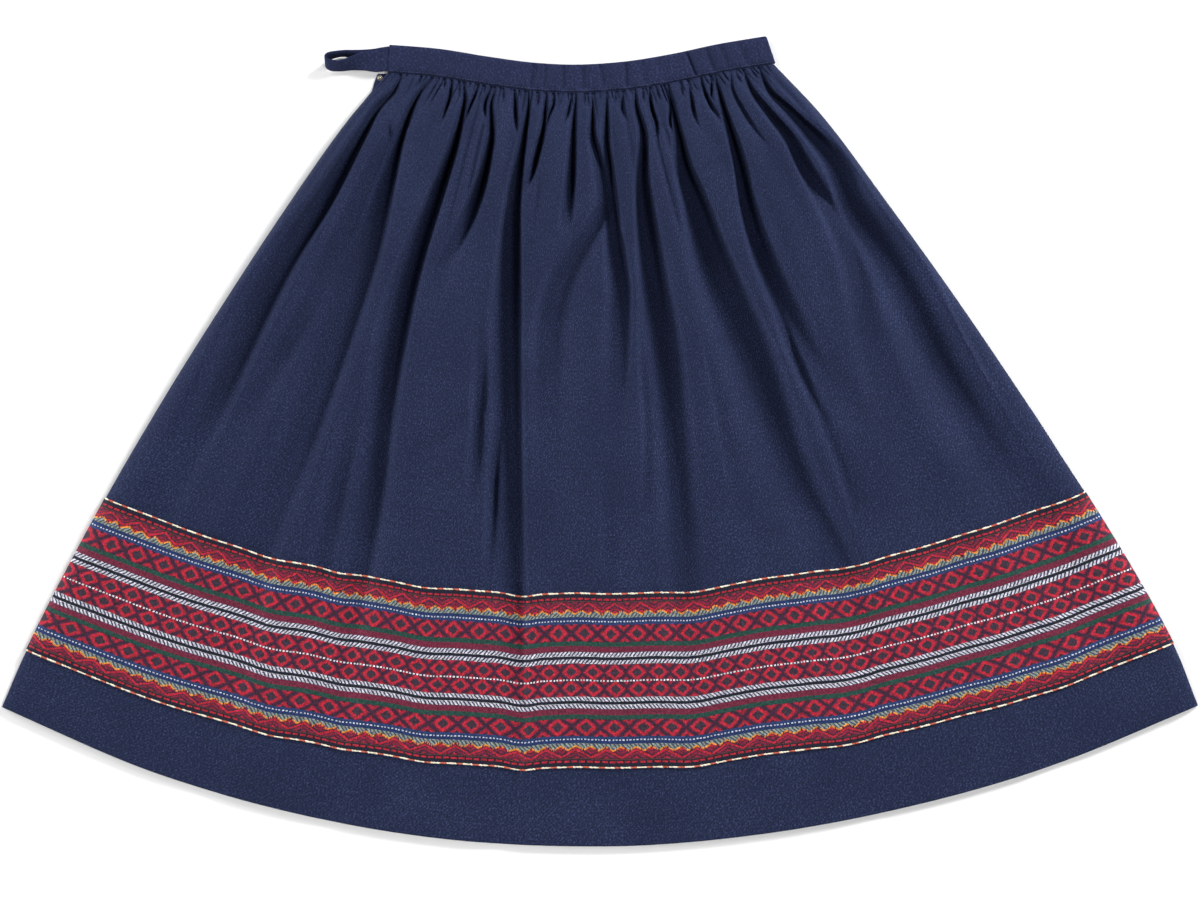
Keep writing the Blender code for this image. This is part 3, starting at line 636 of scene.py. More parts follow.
# Back panel: the same wool and the same cut, lying flat on its outer side with the gathers pressed
# under it. It is sewn to the front at the sides and to the placket along the opening.
BACK_INSET = 1.0
BACK_COLUMNS = 200
BACK_RUNS = (Run(40, 2), Run(91, 3), Run(93, 2), Run(180, 9), Run(440, 20), Run(452, 4), Run(456, 1),
             Run(612, 26), Run(618, 1.5), Run(684, 11))
BACK_GROOVE = 0.5
BACK_GROOVE_LENGTH = 110.0
BACK_GATHERS = 56

# How far the placket's outer edge stands out to the left of the cloth's own edge
Placket = namedtuple("Placket", "fall out")
PLACKET = (
    Placket(1, 8.2),
    Placket(8, 6.0),
    Placket(17, 2.1),
    Placket(38, -6.5),
    Placket(63, -10.0),
    Placket(90, -12.0),
)
PLACKET_THICK = 1.2
PLACKET_WIDTH = 8.6


def placket_edge(fall):
    """The point on the placket's outer edge at one distance down the cloth."""
    x, y = cloth_point(0.0, fall)
    return x - np.interp(fall, [row.fall for row in PLACKET], [row.out for row in PLACKET]), y


def side_edges(fall, inset):
    """The left and right edges of the cloth at one distance down it, drawn in by an inset."""
    x, _ = cloth_point(np.array([0.0, 1.0]), fall)
    return x[0] + inset, x[1] - inset


def flat_rows(falls, inset, columns, height):
    """A grid of the back's points at the height that each row has, beside the placket where it is."""
    rows = []
    for fall in falls:
        left, right = side_edges(fall, inset)
        if fall <= PLACKET[-1].fall + 1:
            left = placket_edge(fall)[0] + PLACKET_WIDTH + SEAM_GAP
        x, y = cloth_point(np.linspace(0, 1, columns + 1), fall)
        x = left + (x - x[0]) * (right - left) / (x[-1] - x[0])
        rows.append(np.column_stack([x, y, np.full(len(x), float(height(fall)))]))
    return np.array(rows)


back_falls = run_falls(BACK_RUNS)
back = flat_rows(back_falls, BACK_INSET, BACK_COLUMNS, back_level)
back_shares = np.linspace(0, 1, BACK_COLUMNS + 1)
back_lower = back[::2, ::2] - (0, 0, WOOL)
groove = np.sin(back_shares[::2] * BACK_GATHERS * np.pi) ** 2
back_lower[:, :, 2] += BACK_GROOVE * groove * ease(1 - back_falls[::2, None] / BACK_GROOVE_LENGTH)
back_panel = add_shell("back_panel", back, back_lower, front_wool,
                       flat_cloth(back_shares * CLOTH_ROUND, back_falls))
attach(back_panel, "root")
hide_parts("skirt_back")

# Woven trim: a band of narrow-loom cloth in wool and cotton yarns, with rows of lozenges between
# stripes and the same rows mirrored about its middle. It goes round above the hem, sewn at its edges.
TRIM_WIDTH = TRIM_FOOT - TRIM_TOP
TRIM_MIDDLE = TRIM_WIDTH / 2
TRIM_ROUND = 1090.0
THREAD = 0.9
MOTTLE = 2.2
DOT_PITCH = 3.4

# The weave wanders a little, along and across, from one patch to the next
WANDER = (2.6, 0.9, 0.0)
WANDER_PATCH = 6.25

# The stripes from either edge to the middle, by where each starts
Stripe = namedtuple("Stripe", "start colour")
STRIPES = (
    Stripe(0.0, "#15152B"),
    Stripe(3.6, "#22142A"),
    Stripe(6.1, "#221A2E"),
    Stripe(7.0, "#6A382E"),
    Stripe(7.6, "#2A1930"),
    Stripe(15.3, "#8E968A"),
    Stripe(21.3, "#1B2F60"),
    Stripe(26.2, "#22396B"),
    Stripe(28.0, "#3A1C34"),
    Stripe(43.3, "#1D463E"),
    Stripe(47.4, "#6F1F3A"),
    Stripe(52.8, "#D2D1DA"),
    Stripe(56.8, "#0F1424"),
    Stripe(59.6, "#D2D1DA"),
    Stripe(63.4, "#3A1C34"),
)
HOLE = "#3A2A3A"
RED = "#B61F35"
DEEP_RED = "#8E1A35"
PURPLE = "#3A1C34"
CRIMSON = "#6E1B38"

# Slanted threads in the pale stripes: their slope, half their period, and where the dark ones start
SLOPE = 0.9
SLANT_HALF = 2.0
SLANT_DARK = 1.1

# What is woven over the stripes: its pitch and the share of it that shows, or 0 and 0 for slanted
# threads, the middle of its row, half the row's height and its colour
Mark = namedtuple("Mark", "pitch shown middle half colour")
MARKS = (
    Mark(0.0, 0.0, 54.8, 2.0, "#33375A"),
    Mark(0.0, 0.0, 61.5, 1.9, "#33375A"),
    Mark(0.0, 0.0, 18.6, 3.3, "#3C4A62"),
    Mark(7.2, 0.75, 4.9, 0.85, "#B0202F"),
    Mark(DOT_PITCH, 0.5, 25.0, 0.6, "#C6CCDC"),
    Mark(DOT_PITCH, 0.55, 78.3, 0.55, "#E4E0E8"),
)

# Zigzags: where they start, how far down their peaks' row is, the width of a peak, the pitch of the
# zigzag lines and their colours, with the depth that the peaks' colours are spread over
ZIGZAG_START = 8.2
PEAK_FOOT = 19.6
PEAK_WIDTH = 14.5
ZIGZAG_PITCH = 7.2
ZIGZAGS = ((0.0, RED), (0.3, PURPLE), (0.5, CRIMSON), (0.68, DEEP_RED), (0.85, PURPLE))
PEAK_DEPTH = 10.0
PEAKS = ((0.0, "#E3B84E"), (0.08, "#E07A2C"), (0.2, "#E07A2C"))
PEAK_LIT = 0.085
PEAK_THREADS_BARE = 0.3

# Rows of hollow lozenges: half the pitch, half the length, the row's middle and half its height.
# Their colours go from the hole in the middle outwards.
Lozenges = namedtuple("Lozenges", "pitch length middle half")
LOZENGE_ROWS = (Lozenges(14.0, 9.6, 35.65, 7.65), Lozenges(11.25, 9.0, 70.7, 7.1))
LOZENGE_REACH = 2.4
RINGS = ((0.0, HOLE), (0.26, RED), (0.44, CRIMSON), (0.52, PURPLE), (0.72, DEEP_RED), (0.82, RED),
         (0.92, PURPLE))


def trim_finish(name):
    """Woven band of dyed wool yarns with cotton white: matt, ribbed by its threads. The real threads
    are 0.5 mm and are drawn at 0.9 mm, so that the steps of the pattern show. The slanted threads and
    the dots are drawn coarser than the real ones for the same reason."""
    made, tree, shader = new_finish(name)
    flat = add_node(tree, "ShaderNodeUVMap", {"uv_map": "weave"})
    mm = add_node(tree, "ShaderNodeVectorMath", {"operation": "SCALE"}, {0: flat, "Scale": WEAVE_SPAN})
    loose = add_node(tree, "ShaderNodeTexNoise", {"noise_dimensions": "2D"},
                     {"Vector": mm, "Scale": 1 / WANDER_PATCH, "Detail": 2.0})
    shift = add_node(tree, "ShaderNodeVectorMath", {"operation": "MULTIPLY_ADD"},
                     {0: loose.outputs["Color"], 1: WANDER, 2: [-part / 2 for part in WANDER]})
    place = add_node(tree, "ShaderNodeVectorMath", {}, {0: mm, 1: shift})
    axes = add_node(tree, "ShaderNodeSeparateXYZ", {}, {0: place})
    along = axes.outputs[0]
    off = axes.outputs[1]
    for operation, by in (("SUBTRACT", TRIM_MIDDLE), ("ABSOLUTE", 0.0)):
        off = add_node(tree, "ShaderNodeMath", {"operation": operation}, {0: off, 1: by})
    inward = add_node(tree, "ShaderNodeMath", {"operation": "SUBTRACT"}, {0: TRIM_MIDDLE, 1: off})
    along_thread, in_thread = (
        add_node(tree, "ShaderNodeMath", {"operation": "SNAP"}, {0: way, 1: THREAD})
        for way in (along, inward)
    )

    # Stripes
    stripe_at = add_node(tree, "ShaderNodeMath", {"operation": "DIVIDE"}, {0: inward, 1: TRIM_MIDDLE})
    colour = add_node(tree, "ShaderNodeValToRGB", {}, {0: stripe_at})
    set_stops(colour, [(s.start / TRIM_MIDDLE, s.colour) for s in STRIPES], "CONSTANT")

    # Slanted threads, dashes near the edge and two dotted lines
    slant = add_node(tree, "ShaderNodeMath", {"operation": "MULTIPLY_ADD"}, {0: inward, 1: SLOPE, 2: along})
    for operation, by in (("PINGPONG", SLANT_HALF), ("GREATER_THAN", SLANT_DARK)):
        slant = add_node(tree, "ShaderNodeMath", {"operation": operation}, {0: slant, 1: by})
    for mark in MARKS:
        shows = slant
        if mark.pitch:
            step = add_node(tree, "ShaderNodeMath", {"operation": "WRAP"}, {0: along, 1: mark.pitch, 2: 0.0})
            shows = add_node(tree, "ShaderNodeMath", {"operation": "LESS_THAN"},
                             {0: step, 1: mark.pitch * mark.shown})
        inside = add_node(tree, "ShaderNodeMath", {"operation": "COMPARE"},
                          {0: inward, 1: mark.middle, 2: mark.half})
        both = add_node(tree, "ShaderNodeMath", {"operation": "MULTIPLY"}, {0: inside, 1: shows})
        colour = add_node(tree, "ShaderNodeMix", {"data_type": "RGBA"},
                          {0: both, 6: colour, 7: linear(mark.colour)}).outputs[2]

    # Zigzags in red on purple, down to a row of orange peaks that stand on the pale threads
    peak = add_node(tree, "ShaderNodeMath", {"operation": "PINGPONG"}, {0: along_thread, 1: PEAK_WIDTH / 2})
    peak_edge = add_node(tree, "ShaderNodeMath", {"operation": "MULTIPLY_ADD"},
                         {0: peak, 1: -0.5, 2: PEAK_FOOT})
    zig = add_node(tree, "ShaderNodeMath", {"operation": "PINGPONG"}, {0: along_thread, 1: PEAK_WIDTH})
    for operation, by, more in (("MULTIPLY_ADD", 0.5, in_thread), ("WRAP", ZIGZAG_PITCH, 0.0),
                                ("DIVIDE", ZIGZAG_PITCH, 0.0)):
        zig = add_node(tree, "ShaderNodeMath", {"operation": operation}, {0: zig, 1: by, 2: more})
    zigzag = add_node(tree, "ShaderNodeValToRGB", {}, {0: zig})
    set_stops(zigzag, ZIGZAGS, "CONSTANT")
    over = add_node(tree, "ShaderNodeMath", {"operation": "GREATER_THAN"}, {0: inward, 1: ZIGZAG_START})
    under = add_node(tree, "ShaderNodeMath", {"operation": "LESS_THAN"}, {0: inward, 1: peak_edge})
    both = add_node(tree, "ShaderNodeMath", {"operation": "MULTIPLY"}, {0: over, 1: under})
    colour = add_node(tree, "ShaderNodeMix", {"data_type": "RGBA"},
                      {0: both, 6: colour, 7: zigzag}).outputs[2]
    depth = add_node(tree, "ShaderNodeMath", {"operation": "SUBTRACT"}, {0: peak_edge, 1: inward})
    depth = add_node(tree, "ShaderNodeMath", {"operation": "DIVIDE"}, {0: depth, 1: PEAK_DEPTH})
    flame = add_node(tree, "ShaderNodeValToRGB", {}, {0: depth})
    set_stops(flame, PEAKS)
    lit = add_node(tree, "ShaderNodeMath", {"operation": "COMPARE"}, {0: depth, 1: PEAK_LIT, 2: PEAK_LIT})
    thread = add_node(tree, "ShaderNodeTexWhiteNoise", {"noise_dimensions": "1D"}, {"W": along_thread})
    shown = add_node(tree, "ShaderNodeMath", {"operation": "GREATER_THAN"},
                     {0: thread.outputs["Value"], 1: PEAK_THREADS_BARE})
    lit = add_node(tree, "ShaderNodeMath", {"operation": "MULTIPLY"}, {0: lit, 1: shown})
    colour = add_node(tree, "ShaderNodeMix", {"data_type": "RGBA"}, {0: lit, 6: colour, 7: flame}).outputs[2]

    # Rows of hollow lozenges
    for row in LOZENGE_ROWS:
        out = along_thread
        for operation, by in (("PINGPONG", row.pitch), ("DIVIDE", row.length)):
            out = add_node(tree, "ShaderNodeMath", {"operation": operation}, {0: out, 1: by})
        up = in_thread
        for operation, by in (("SUBTRACT", row.middle), ("ABSOLUTE", 0.0), ("DIVIDE", row.half)):
            up = add_node(tree, "ShaderNodeMath", {"operation": operation}, {0: up, 1: by})
        ring = add_node(tree, "ShaderNodeMath", {}, {0: out, 1: up})
        ring = add_node(tree, "ShaderNodeMath", {"operation": "DIVIDE"}, {0: ring, 1: LOZENGE_REACH})
        lozenge = add_node(tree, "ShaderNodeValToRGB", {}, {0: ring})
        set_stops(lozenge, RINGS, "CONSTANT")
        inside = add_node(tree, "ShaderNodeMath", {"operation": "COMPARE"},
                          {0: inward, 1: row.middle, 2: row.half})
        colour = add_node(tree, "ShaderNodeMix", {"data_type": "RGBA"},
                          {0: inside, 6: colour, 7: lozenge}).outputs[2]

    # Each thread crossing differs a little in shade, and the threads stand up as ribs
    crossing = add_node(tree, "ShaderNodeCombineXYZ", {}, {0: along_thread, 1: in_thread})
    fibre = add_node(tree, "ShaderNodeTexWhiteNoise", {"noise_dimensions": "2D"}, {"Vector": crossing})
    shade = add_node(tree, "ShaderNodeMapRange", {}, {0: fibre.outputs["Value"], 3: 0.46, 4: 1.02})
    mottle = add_node(tree, "ShaderNodeTexNoise", {"noise_dimensions": "2D"},
                      {"Vector": place, "Scale": 1 / MOTTLE, "Detail": 1.0})
    mottle = add_node(tree, "ShaderNodeMapRange", {}, {0: mottle, 1: 0.3, 2: 0.7, 3: 0.7, 4: 1.3})
    shade = add_node(tree, "ShaderNodeMath", {"operation": "MULTIPLY"}, {0: shade, 1: mottle})
    colour = add_node(tree, "ShaderNodeVectorMath", {"operation": "SCALE"}, {0: colour, "Scale": shade})
    rib, pick = (
        add_node(tree, "ShaderNodeMath", {"operation": "PINGPONG"}, {0: way, 1: THREAD / 2})
        for way in (along, inward)
    )
    height = add_node(tree, "ShaderNodeMath", {}, {0: rib, 1: pick})
    relief = add_node(tree, "ShaderNodeBump", {}, {"Strength": 0.4, "Distance": 0.0005, "Height": height})
    feed(shader, {"Base Color": colour, "Normal": relief, "Roughness": 0.8, "Specular IOR Level": 0.25})
    return made


woven = trim_finish("woven wool band")
TRIM_RUNS = (Run(2, 1), Run(155, 9), Run(157, 1))
TRIM_WRAP_DROP = WRAP_DROP + 1.6
trim_down = run_falls(TRIM_RUNS)
trim_falls = TRIM_TOP + trim_down
trim = front_points(shares, trim_falls[:, None], SEAM_GAP + TRIM_CLOTH)
trim = with_wraps(trim, trim_falls, WRAP_OUT + TRIM_CLOTH, TRIM_WRAP_DROP)
trim_front = add_shell("woven_trim_front", trim, underside(trim, TRIM_CLOTH), woven,
                       flat_cloth(wide_run(shares, TRIM_ROUND), trim_down))
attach(trim_front, "root")
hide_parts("trim_front")

TRIM_BACK_INSET = 2.0
TRIM_BACK_COLUMNS = 120
back_trim = flat_rows(trim_falls, TRIM_BACK_INSET, TRIM_BACK_COLUMNS, lambda fall: TRIM_CLOTH)
trim_back = add_shell("woven_trim_back", back_trim, back_trim[::2, ::2] * (1, 1, 0), woven,
                      flat_cloth(np.linspace(0, TRIM_ROUND, TRIM_BACK_COLUMNS + 1), trim_down))
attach(trim_back, "root")
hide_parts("trim_back")

# Edge cords of the trim: two-ply twisted wool, a cream run and an orange-red run by turns, couched
# along both of its edges. Small plies lie aslant one after another along the edge.

# Plies and stitches along a path: their pitch and sizes in millimetres, their lean, how uneven they
# are, how many there are to a repeat, how many of those are marked, and their random seed
Thread = namedtuple("Thread", "pitch length width height lean unevenness repeat marked seed")
THREAD_SIZES = ("pitch", "length", "width", "height")
FRONT_CORD = Thread(1.45, 2.5, 1.45, 1.305, 0.5, 0.24, 10, 6, 4)
BACK_CORD = FRONT_CORD._replace(pitch=2.2, width=1.2, height=0.8)

# In front the cords lie just past the trim's edges and stand above its face. Behind they are pressed
# flat into its thickness, just inside its edges.
CORD_PAST = 0.2
CORD_RISE = 1.0
BACK_CORD_INSIDE = 1.0
BACK_CORD_INSET = 3.0
BACK_CORD_STEPS = 299
BACK_CORD_Z = 0.45


def cord_colours(name):
    """Twisted yarn in two dyed runs: matt fibre, mottled paler and darker along its plies."""
    made, tree, shader = new_finish(name)
    run = add_node(tree, "ShaderNodeAttribute", {"attribute_name": "run"})
    where = add_node(tree, "ShaderNodeTexCoord")
    fibre = add_node(tree, "ShaderNodeTexNoise", {},
                     {"Vector": where.outputs["Object"], "Scale": 1400.0, "Detail": 2.0})
    pale = add_node(tree, "ShaderNodeValToRGB", {}, {0: fibre})
    set_stops(pale, ((0.3, "#B9A98C"), (0.6, "#F0E8D8")))
    warm = add_node(tree, "ShaderNodeValToRGB", {}, {0: fibre})
    set_stops(warm, ((0.3, "#8E3226"), (0.65, "#C9674A")))
    colour = add_node(tree, "ShaderNodeMix", {"data_type": "RGBA"},
                      {0: run.outputs["Fac"], 6: warm, 7: pale})
    feed(shader, {"Base Color": colour.outputs[2], "Roughness": 0.85})
    return made


def thread_tree(name):
    """Small plies or stitches along a path, every so far, each lying along it with a lean. The first
    few of each repeat are marked 1 in the attribute named run, and the rest 0."""
    tree = bpy.data.node_groups.new(name, "GeometryNodeTree")
    tree.interface.new_socket("Geometry", in_out="OUTPUT", socket_type="NodeSocketGeometry")
    tree.interface.new_socket("Path", in_out="INPUT", socket_type="NodeSocketGeometry")
    for label in ("Pitch", "Length", "Width", "Height", "Lean", "Unevenness"):
        tree.interface.new_socket(label, in_out="INPUT", socket_type="NodeSocketFloat")
    for label in ("Repeat", "Marked", "Seed"):
        tree.interface.new_socket(label, in_out="INPUT", socket_type="NodeSocketInt")
    tree.interface.new_socket("Finish", in_out="INPUT", socket_type="NodeSocketMaterial")
    given = add_node(tree, "NodeGroupInput").outputs
    path = add_node(tree, "GeometryNodeMeshToCurve", {}, {0: given["Path"]})
    path = add_node(tree, "GeometryNodeSetCurveNormal", {"mode": "Z_UP"}, {0: path})
    path = add_node(tree, "GeometryNodeResampleCurve", {"mode": "LENGTH"},
                    {"Curve": path, "Length": given["Pitch"]})
    points = add_node(tree, "GeometryNodeCurveToPoints", {"mode": "EVALUATED"}, {"Curve": path})
    ply = add_node(tree, "GeometryNodeMeshIcoSphere", {}, {"Radius": 0.5, "Subdivisions": 1})
    lean = add_node(tree, "ShaderNodeCombineXYZ", {}, {1: given["Lean"]})
    turn = add_node(tree, "FunctionNodeRotateRotation", {"rotation_space": "LOCAL"},
                    {0: points.outputs["Rotation"], 1: lean})
    uneven = add_node(tree, "FunctionNodeRandomValue", {"data_type": "FLOAT"},
                      {"Seed": given["Seed"], 2: -1.0, 3: 1.0})
    grows = add_node(tree, "ShaderNodeMath", {"operation": "MULTIPLY_ADD"},
                     {0: uneven.outputs[1], 1: given["Unevenness"], 2: 1.0})
    size = add_node(tree, "ShaderNodeCombineXYZ", {},
                    {0: given["Width"], 1: given["Height"], 2: given["Length"]})
    size = add_node(tree, "ShaderNodeVectorMath", {"operation": "SCALE"}, {0: size, "Scale": grows})
    plies = add_node(tree, "GeometryNodeInstanceOnPoints", {},
                     {"Points": points, "Instance": ply, "Rotation": turn, "Scale": size})
    number = add_node(tree, "GeometryNodeInputIndex")
    number = add_node(tree, "ShaderNodeMath", {"operation": "MODULO"}, {0: number, 1: given["Repeat"]})
    marked = add_node(tree, "ShaderNodeMath", {"operation": "LESS_THAN"}, {0: number, 1: given["Marked"]})
    plies = add_node(tree, "GeometryNodeStoreNamedAttribute", {"data_type": "FLOAT", "domain": "INSTANCE"},
                     {"Geometry": plies, "Name": "run", "Value": marked})
    made = add_node(tree, "GeometryNodeRealizeInstances", {}, {0: plies})
    made = add_node(tree, "GeometryNodeSetMaterial", {}, {"Geometry": made, "Material": given["Finish"]})
    made = add_node(tree, "GeometryNodeSetShadeSmooth", {}, {0: made})
    add_node(tree, "NodeGroupOutput", {}, {0: made})
    return tree


def along_paths(name, tree, paths, thread, finish):
    """Run the tree on some paths, given in millimetres, and keep what it makes as a plain mesh."""
    given = {"Finish": finish}
    for label, value in thread._asdict().items():
        given[label.capitalize()] = value * MM if label in THREAD_SIZES else value
    points, edges = [], []
    for path in paths:
        first = len(points)
        points += (np.asarray(path, float) * MM).tolist()
        edges += [(first + k, first + k + 1) for k in range(len(path) - 1)]
    route = bpy.data.meshes.new(name + "_route")
    route.from_pydata(points, edges, [])
    carrier = bpy.data.objects.new(name + "_route", route)
    bpy.context.scene.collection.objects.link(carrier)
    run = carrier.modifiers.new("threads", "NODES")
    run.node_group = tree
    for item in tree.interface.items_tree:
        if item.in_out == "INPUT" and item.name in given:
            run[item.identifier] = given[item.name]
    graph = bpy.context.evaluated_depsgraph_get()
    mesh = bpy.data.meshes.new_from_object(carrier.evaluated_get(graph))
    mesh.name = name
    bpy.data.objects.remove(carrier)
    obj = bpy.data.objects.new(name, mesh)
    bpy.context.scene.collection.objects.link(obj)
    return obj


def edge_path(fall, rise, first=0.0, last=1.0, count=700):
    """A path along the front at one distance down it, a little above the cloth's face."""
    return front_points(np.linspace(first, last, count), fall, rise)


threads = thread_tree("plies along a path")
cord_yarn = cord_colours("twisted wool cord, cream and orange-red")
cord_paths = [edge_path(fall, CORD_RISE) for fall in (TRIM_TOP - CORD_PAST, TRIM_FOOT + CORD_PAST)]
front_cords = along_paths("trim_edge_cords_front", threads, cord_paths, FRONT_CORD, cord_yarn)
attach(front_cords, "root")

cord_falls = (TRIM_TOP + BACK_CORD_INSIDE, TRIM_FOOT - BACK_CORD_INSIDE)
cord_paths = flat_rows(cord_falls, BACK_CORD_INSET, BACK_CORD_STEPS, lambda fall: BACK_CORD_Z)
back_cords = along_paths("trim_edge_cords_back", threads, cord_paths, BACK_CORD, cord_yarn)
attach(back_cords, "root")

# Waistband: two layers of the same wool over a woven stiffening, folded along its top edge and
# pressed. It runs from the opening to the right side, folds round it and comes back behind.
BAND_DEPTH = 25.2
BAND_THICK = 2.2
BAND_SOFT_EDGE = 1.3
BAND_BACK_Z = BAND_THICK / 2
BAND_FRONT_Z = BAND_BACK_Z + BAND_THICK + 0.5
BAND_END_LEAN = 4.5
BAND_END_SHARE = 8
BAND_STATIONS = 260
BAND_BACK_STATIONS = 60
BAND_FOLD_STEPS = 10
ACROSS = (0.0, 0.012, 0.03, 0.06, 0.12, 0.22, 0.35, 0.5, 0.65, 0.78, 0.88, 0.94, 0.97, 0.988, 1.0)

# The band's outer layer stands a little off its stiffening, with dents where it has been handled:
# how far along each is, how deep, how wide and how it leans
BULGE = 1.3
BAND_STRAYS = (Stray(0.16, 1 / 6.1, 0.7), Stray(0.12, 1 / 9.7, 2.0))
BAND_LEAN = 0.02
BAND_WAVE_LOSS = 0.6
BAND_EDGE_SHARE = 0.14
BAND_END_STATIONS = 6
Dent = namedtuple("Dent", "x depth width lean")
DENTS = (
    Dent(-173.0, 0.9, 5.0, 0.1),
    Dent(-145.0, 1.2, 4.0, 0.1),
    Dent(-118.0, 0.9, 6.0, -0.1),
    Dent(-90.0, 0.6, 6.0, 0.0),
    Dent(-63.5, 2.6, 4.2, 0.1),
    Dent(-51.0, 1.8, 3.2, 0.05),
    Dent(-33.0, 2.4, 4.4, 0.0),
    Dent(-14.0, 2.6, 5.0, 0.0),
    Dent(5.0, 2.4, 4.4, -0.1),
    Dent(24.6, 2.4, 3.4, 0.1),
    Dent(42.0, 2.2, 4.4, 0.0),
    Dent(58.0, 1.4, 5.0, 0.0),
    Dent(88.0, 2.8, 2.0, -0.12),
    Dent(105.0, 2.2, 3.4, -0.1),
    Dent(118.0, 1.8, 3.2, -0.1),
    Dent(135.0, 1.6, 4.0, -0.1),
)


def band_plan(stations):
    """The waistband in plan, from its open end to its fold: its foot, its top and its direction."""
    share = np.linspace(0, 1, stations)
    line = np.stack(cloth_point(share, 0), axis=1)
    along = np.gradient(line, axis=0)
    along /= np.linalg.norm(along, axis=1)[:, None]
    up = np.stack([-along[:, 1], along[:, 0]], axis=1)
    foot = line + up * SEAM_GAP
    top = foot + up * BAND_DEPTH
    top[:, 0] -= BAND_END_LEAN * share**BAND_END_SHARE
    return foot, top, along, up


def strap(name, tops, feet, thick, soft, finish, relief=None):
    """A strap between two edges, rounded at both. The relief says how far its outer face is pushed
    out at each station and share of the way up."""
    tops = np.asarray(tops, float)
    feet = np.asarray(feet, float)
    across = tops - feet
    width = np.linalg.norm(across, axis=1)
    forward = np.gradient((tops + feet) / 2, axis=0)
    normal = np.cross(forward, across)
    normal /= np.linalg.norm(normal, axis=1)[:, None]
    share = np.array(ACROSS)
    rings = []
    for i in range(len(tops)):
        distance = np.minimum(share, 1 - share) * width[i]
        half = thick / 2 * np.sqrt(1 - (1 - np.clip(distance / soft, 0, 1)) ** 2)
        line = feet[i] + share[:, None] * across[i]
        push = relief(i, share) if relief else 0
        outer = line + normal[i] * (half + push)[:, None]
        inner = line - normal[i] * half[:, None]
        rings.append(np.concatenate([outer, inner[-2:0:-1]]))
    rings = np.array(rings)
    count, sides = rings.shape[:2]
    faces = [tuple(range(sides)), tuple((count - 1) * sides + k for k in reversed(range(sides)))]
    for i in range(count - 1):
        for k in range(sides):
            after = (k + 1) % sides
            faces.append((i * sides + after, i * sides + k, (i + 1) * sides + k, (i + 1) * sides + after))
    run = np.concatenate([[0], np.cumsum(np.linalg.norm(np.diff((tops + feet) / 2, axis=0), axis=1))])
    round_up = np.concatenate([share, 2 - share[-2:0:-1]]) * width.mean()
    weave = np.stack(np.broadcast_arrays(run[:, None], round_up[None, :]), axis=-1).reshape(-1, 2)
    return add_piece(name, rings.reshape(-1, 3), faces, finish, weave, sharp=1.2)


band_foot, band_top, _, band_up = band_plan(BAND_STATIONS)
back_foot, back_top, _, _ = band_plan(BAND_BACK_STATIONS)
turn = np.linspace(0, np.pi, BAND_FOLD_STEPS + 1)[1:-1]
fold_radius = (BAND_FRONT_Z - BAND_BACK_Z) / 2


def band_edge(line, back_line):
    """One edge of the band: along the front layer, round the fold and back along the back layer."""
    front_part = np.column_stack([line, np.full(len(line), BAND_FRONT_Z)])
    fold_x = line[-1, 0] + fold_radius * np.sin(turn)
    fold_z = BAND_BACK_Z + fold_radius + fold_radius * np.cos(turn)
    fold = np.column_stack([fold_x, np.full(len(turn), line[-1, 1]), fold_z])
    back_part = np.column_stack([back_line, np.full(len(back_line), BAND_BACK_Z)])[::-1]
    return np.concatenate([front_part, fold, back_part])


def band_relief(i, share):
    """How far the band's outer face stands out or is dented, over its front layer alone."""
    if i >= BAND_STATIONS:
        return np.zeros_like(share)
    x = band_foot[i, 0] + share * BAND_DEPTH * BAND_LEAN
    level = BULGE + stray(x, BAND_STRAYS) * (1 - BAND_WAVE_LOSS * share)
    for dent in DENTS:
        distance = x - dent.x - dent.lean * share * BAND_DEPTH
        level = level - dent.depth * np.exp(-((distance / dent.width) ** 2))
    edge = ease(np.minimum(share, 1 - share) / BAND_EDGE_SHARE)
    ends = ease(min(i, BAND_STATIONS - 1 - i) / BAND_END_STATIONS)
    return level * edge * ends


band_wool = wool_finish("navy worsted wool twill, pressed", "#171C33", "#1C223C", "#222845", "#30375A")
waistband = strap("waistband_cloth", band_edge(band_top, back_top), band_edge(band_foot, back_foot),
                  BAND_THICK, BAND_SOFT_EDGE, band_wool, band_relief)
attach(waistband, "root")
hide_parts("waistband")

# Waist loop: a strap of the same wool, sewn in at the open end of the band between its layers. It
# goes out to the left, stands on its lower edge where it turns, and comes back underneath.
Strap = namedtuple("Strap", "top_x top_y top_z foot_x foot_y foot_z")
LOOP = (
    Strap(-201.0, 357.8, 4.2, -203.0, 335.8, 3.9),
    Strap(-213.0, 354.6, 5.6, -214.0, 337.2, 3.2),
    Strap(-224.0, 350.6, 8.6, -224.5, 337.6, 2.2),
    Strap(-234.0, 345.9, 11.6, -234.0, 337.0, 1.4),
    Strap(-241.0, 345.6, 12.6, -241.0, 336.9, 1.2),
    Strap(-246.4, 346.9, 13.0, -246.6, 338.2, 1.2),
    Strap(-249.0, 349.6, 13.2, -249.2, 341.6, 1.2),
    Strap(-246.8, 352.2, 13.2, -246.9, 346.0, 1.2),
    Strap(-241.0, 353.4, 13.0, -241.0, 349.2, 1.2),
    Strap(-233.0, 354.4, 12.0, -233.0, 350.4, 1.2),
    Strap(-224.0, 355.4, 8.2, -223.0, 347.0, 1.1),
    Strap(-214.0, 356.4, 3.2, -212.5, 340.5, 1.1),
    Strap(-203.0, 357.6, 1.2, -203.0, 336.0, 1.1),
)
LOOP_THICK = 1.8
LOOP_SOFT_EDGE = 0.8
LOOP_INSET = 1.6
LOOP_STEPS = 8
LOOP_STATIONS = 36

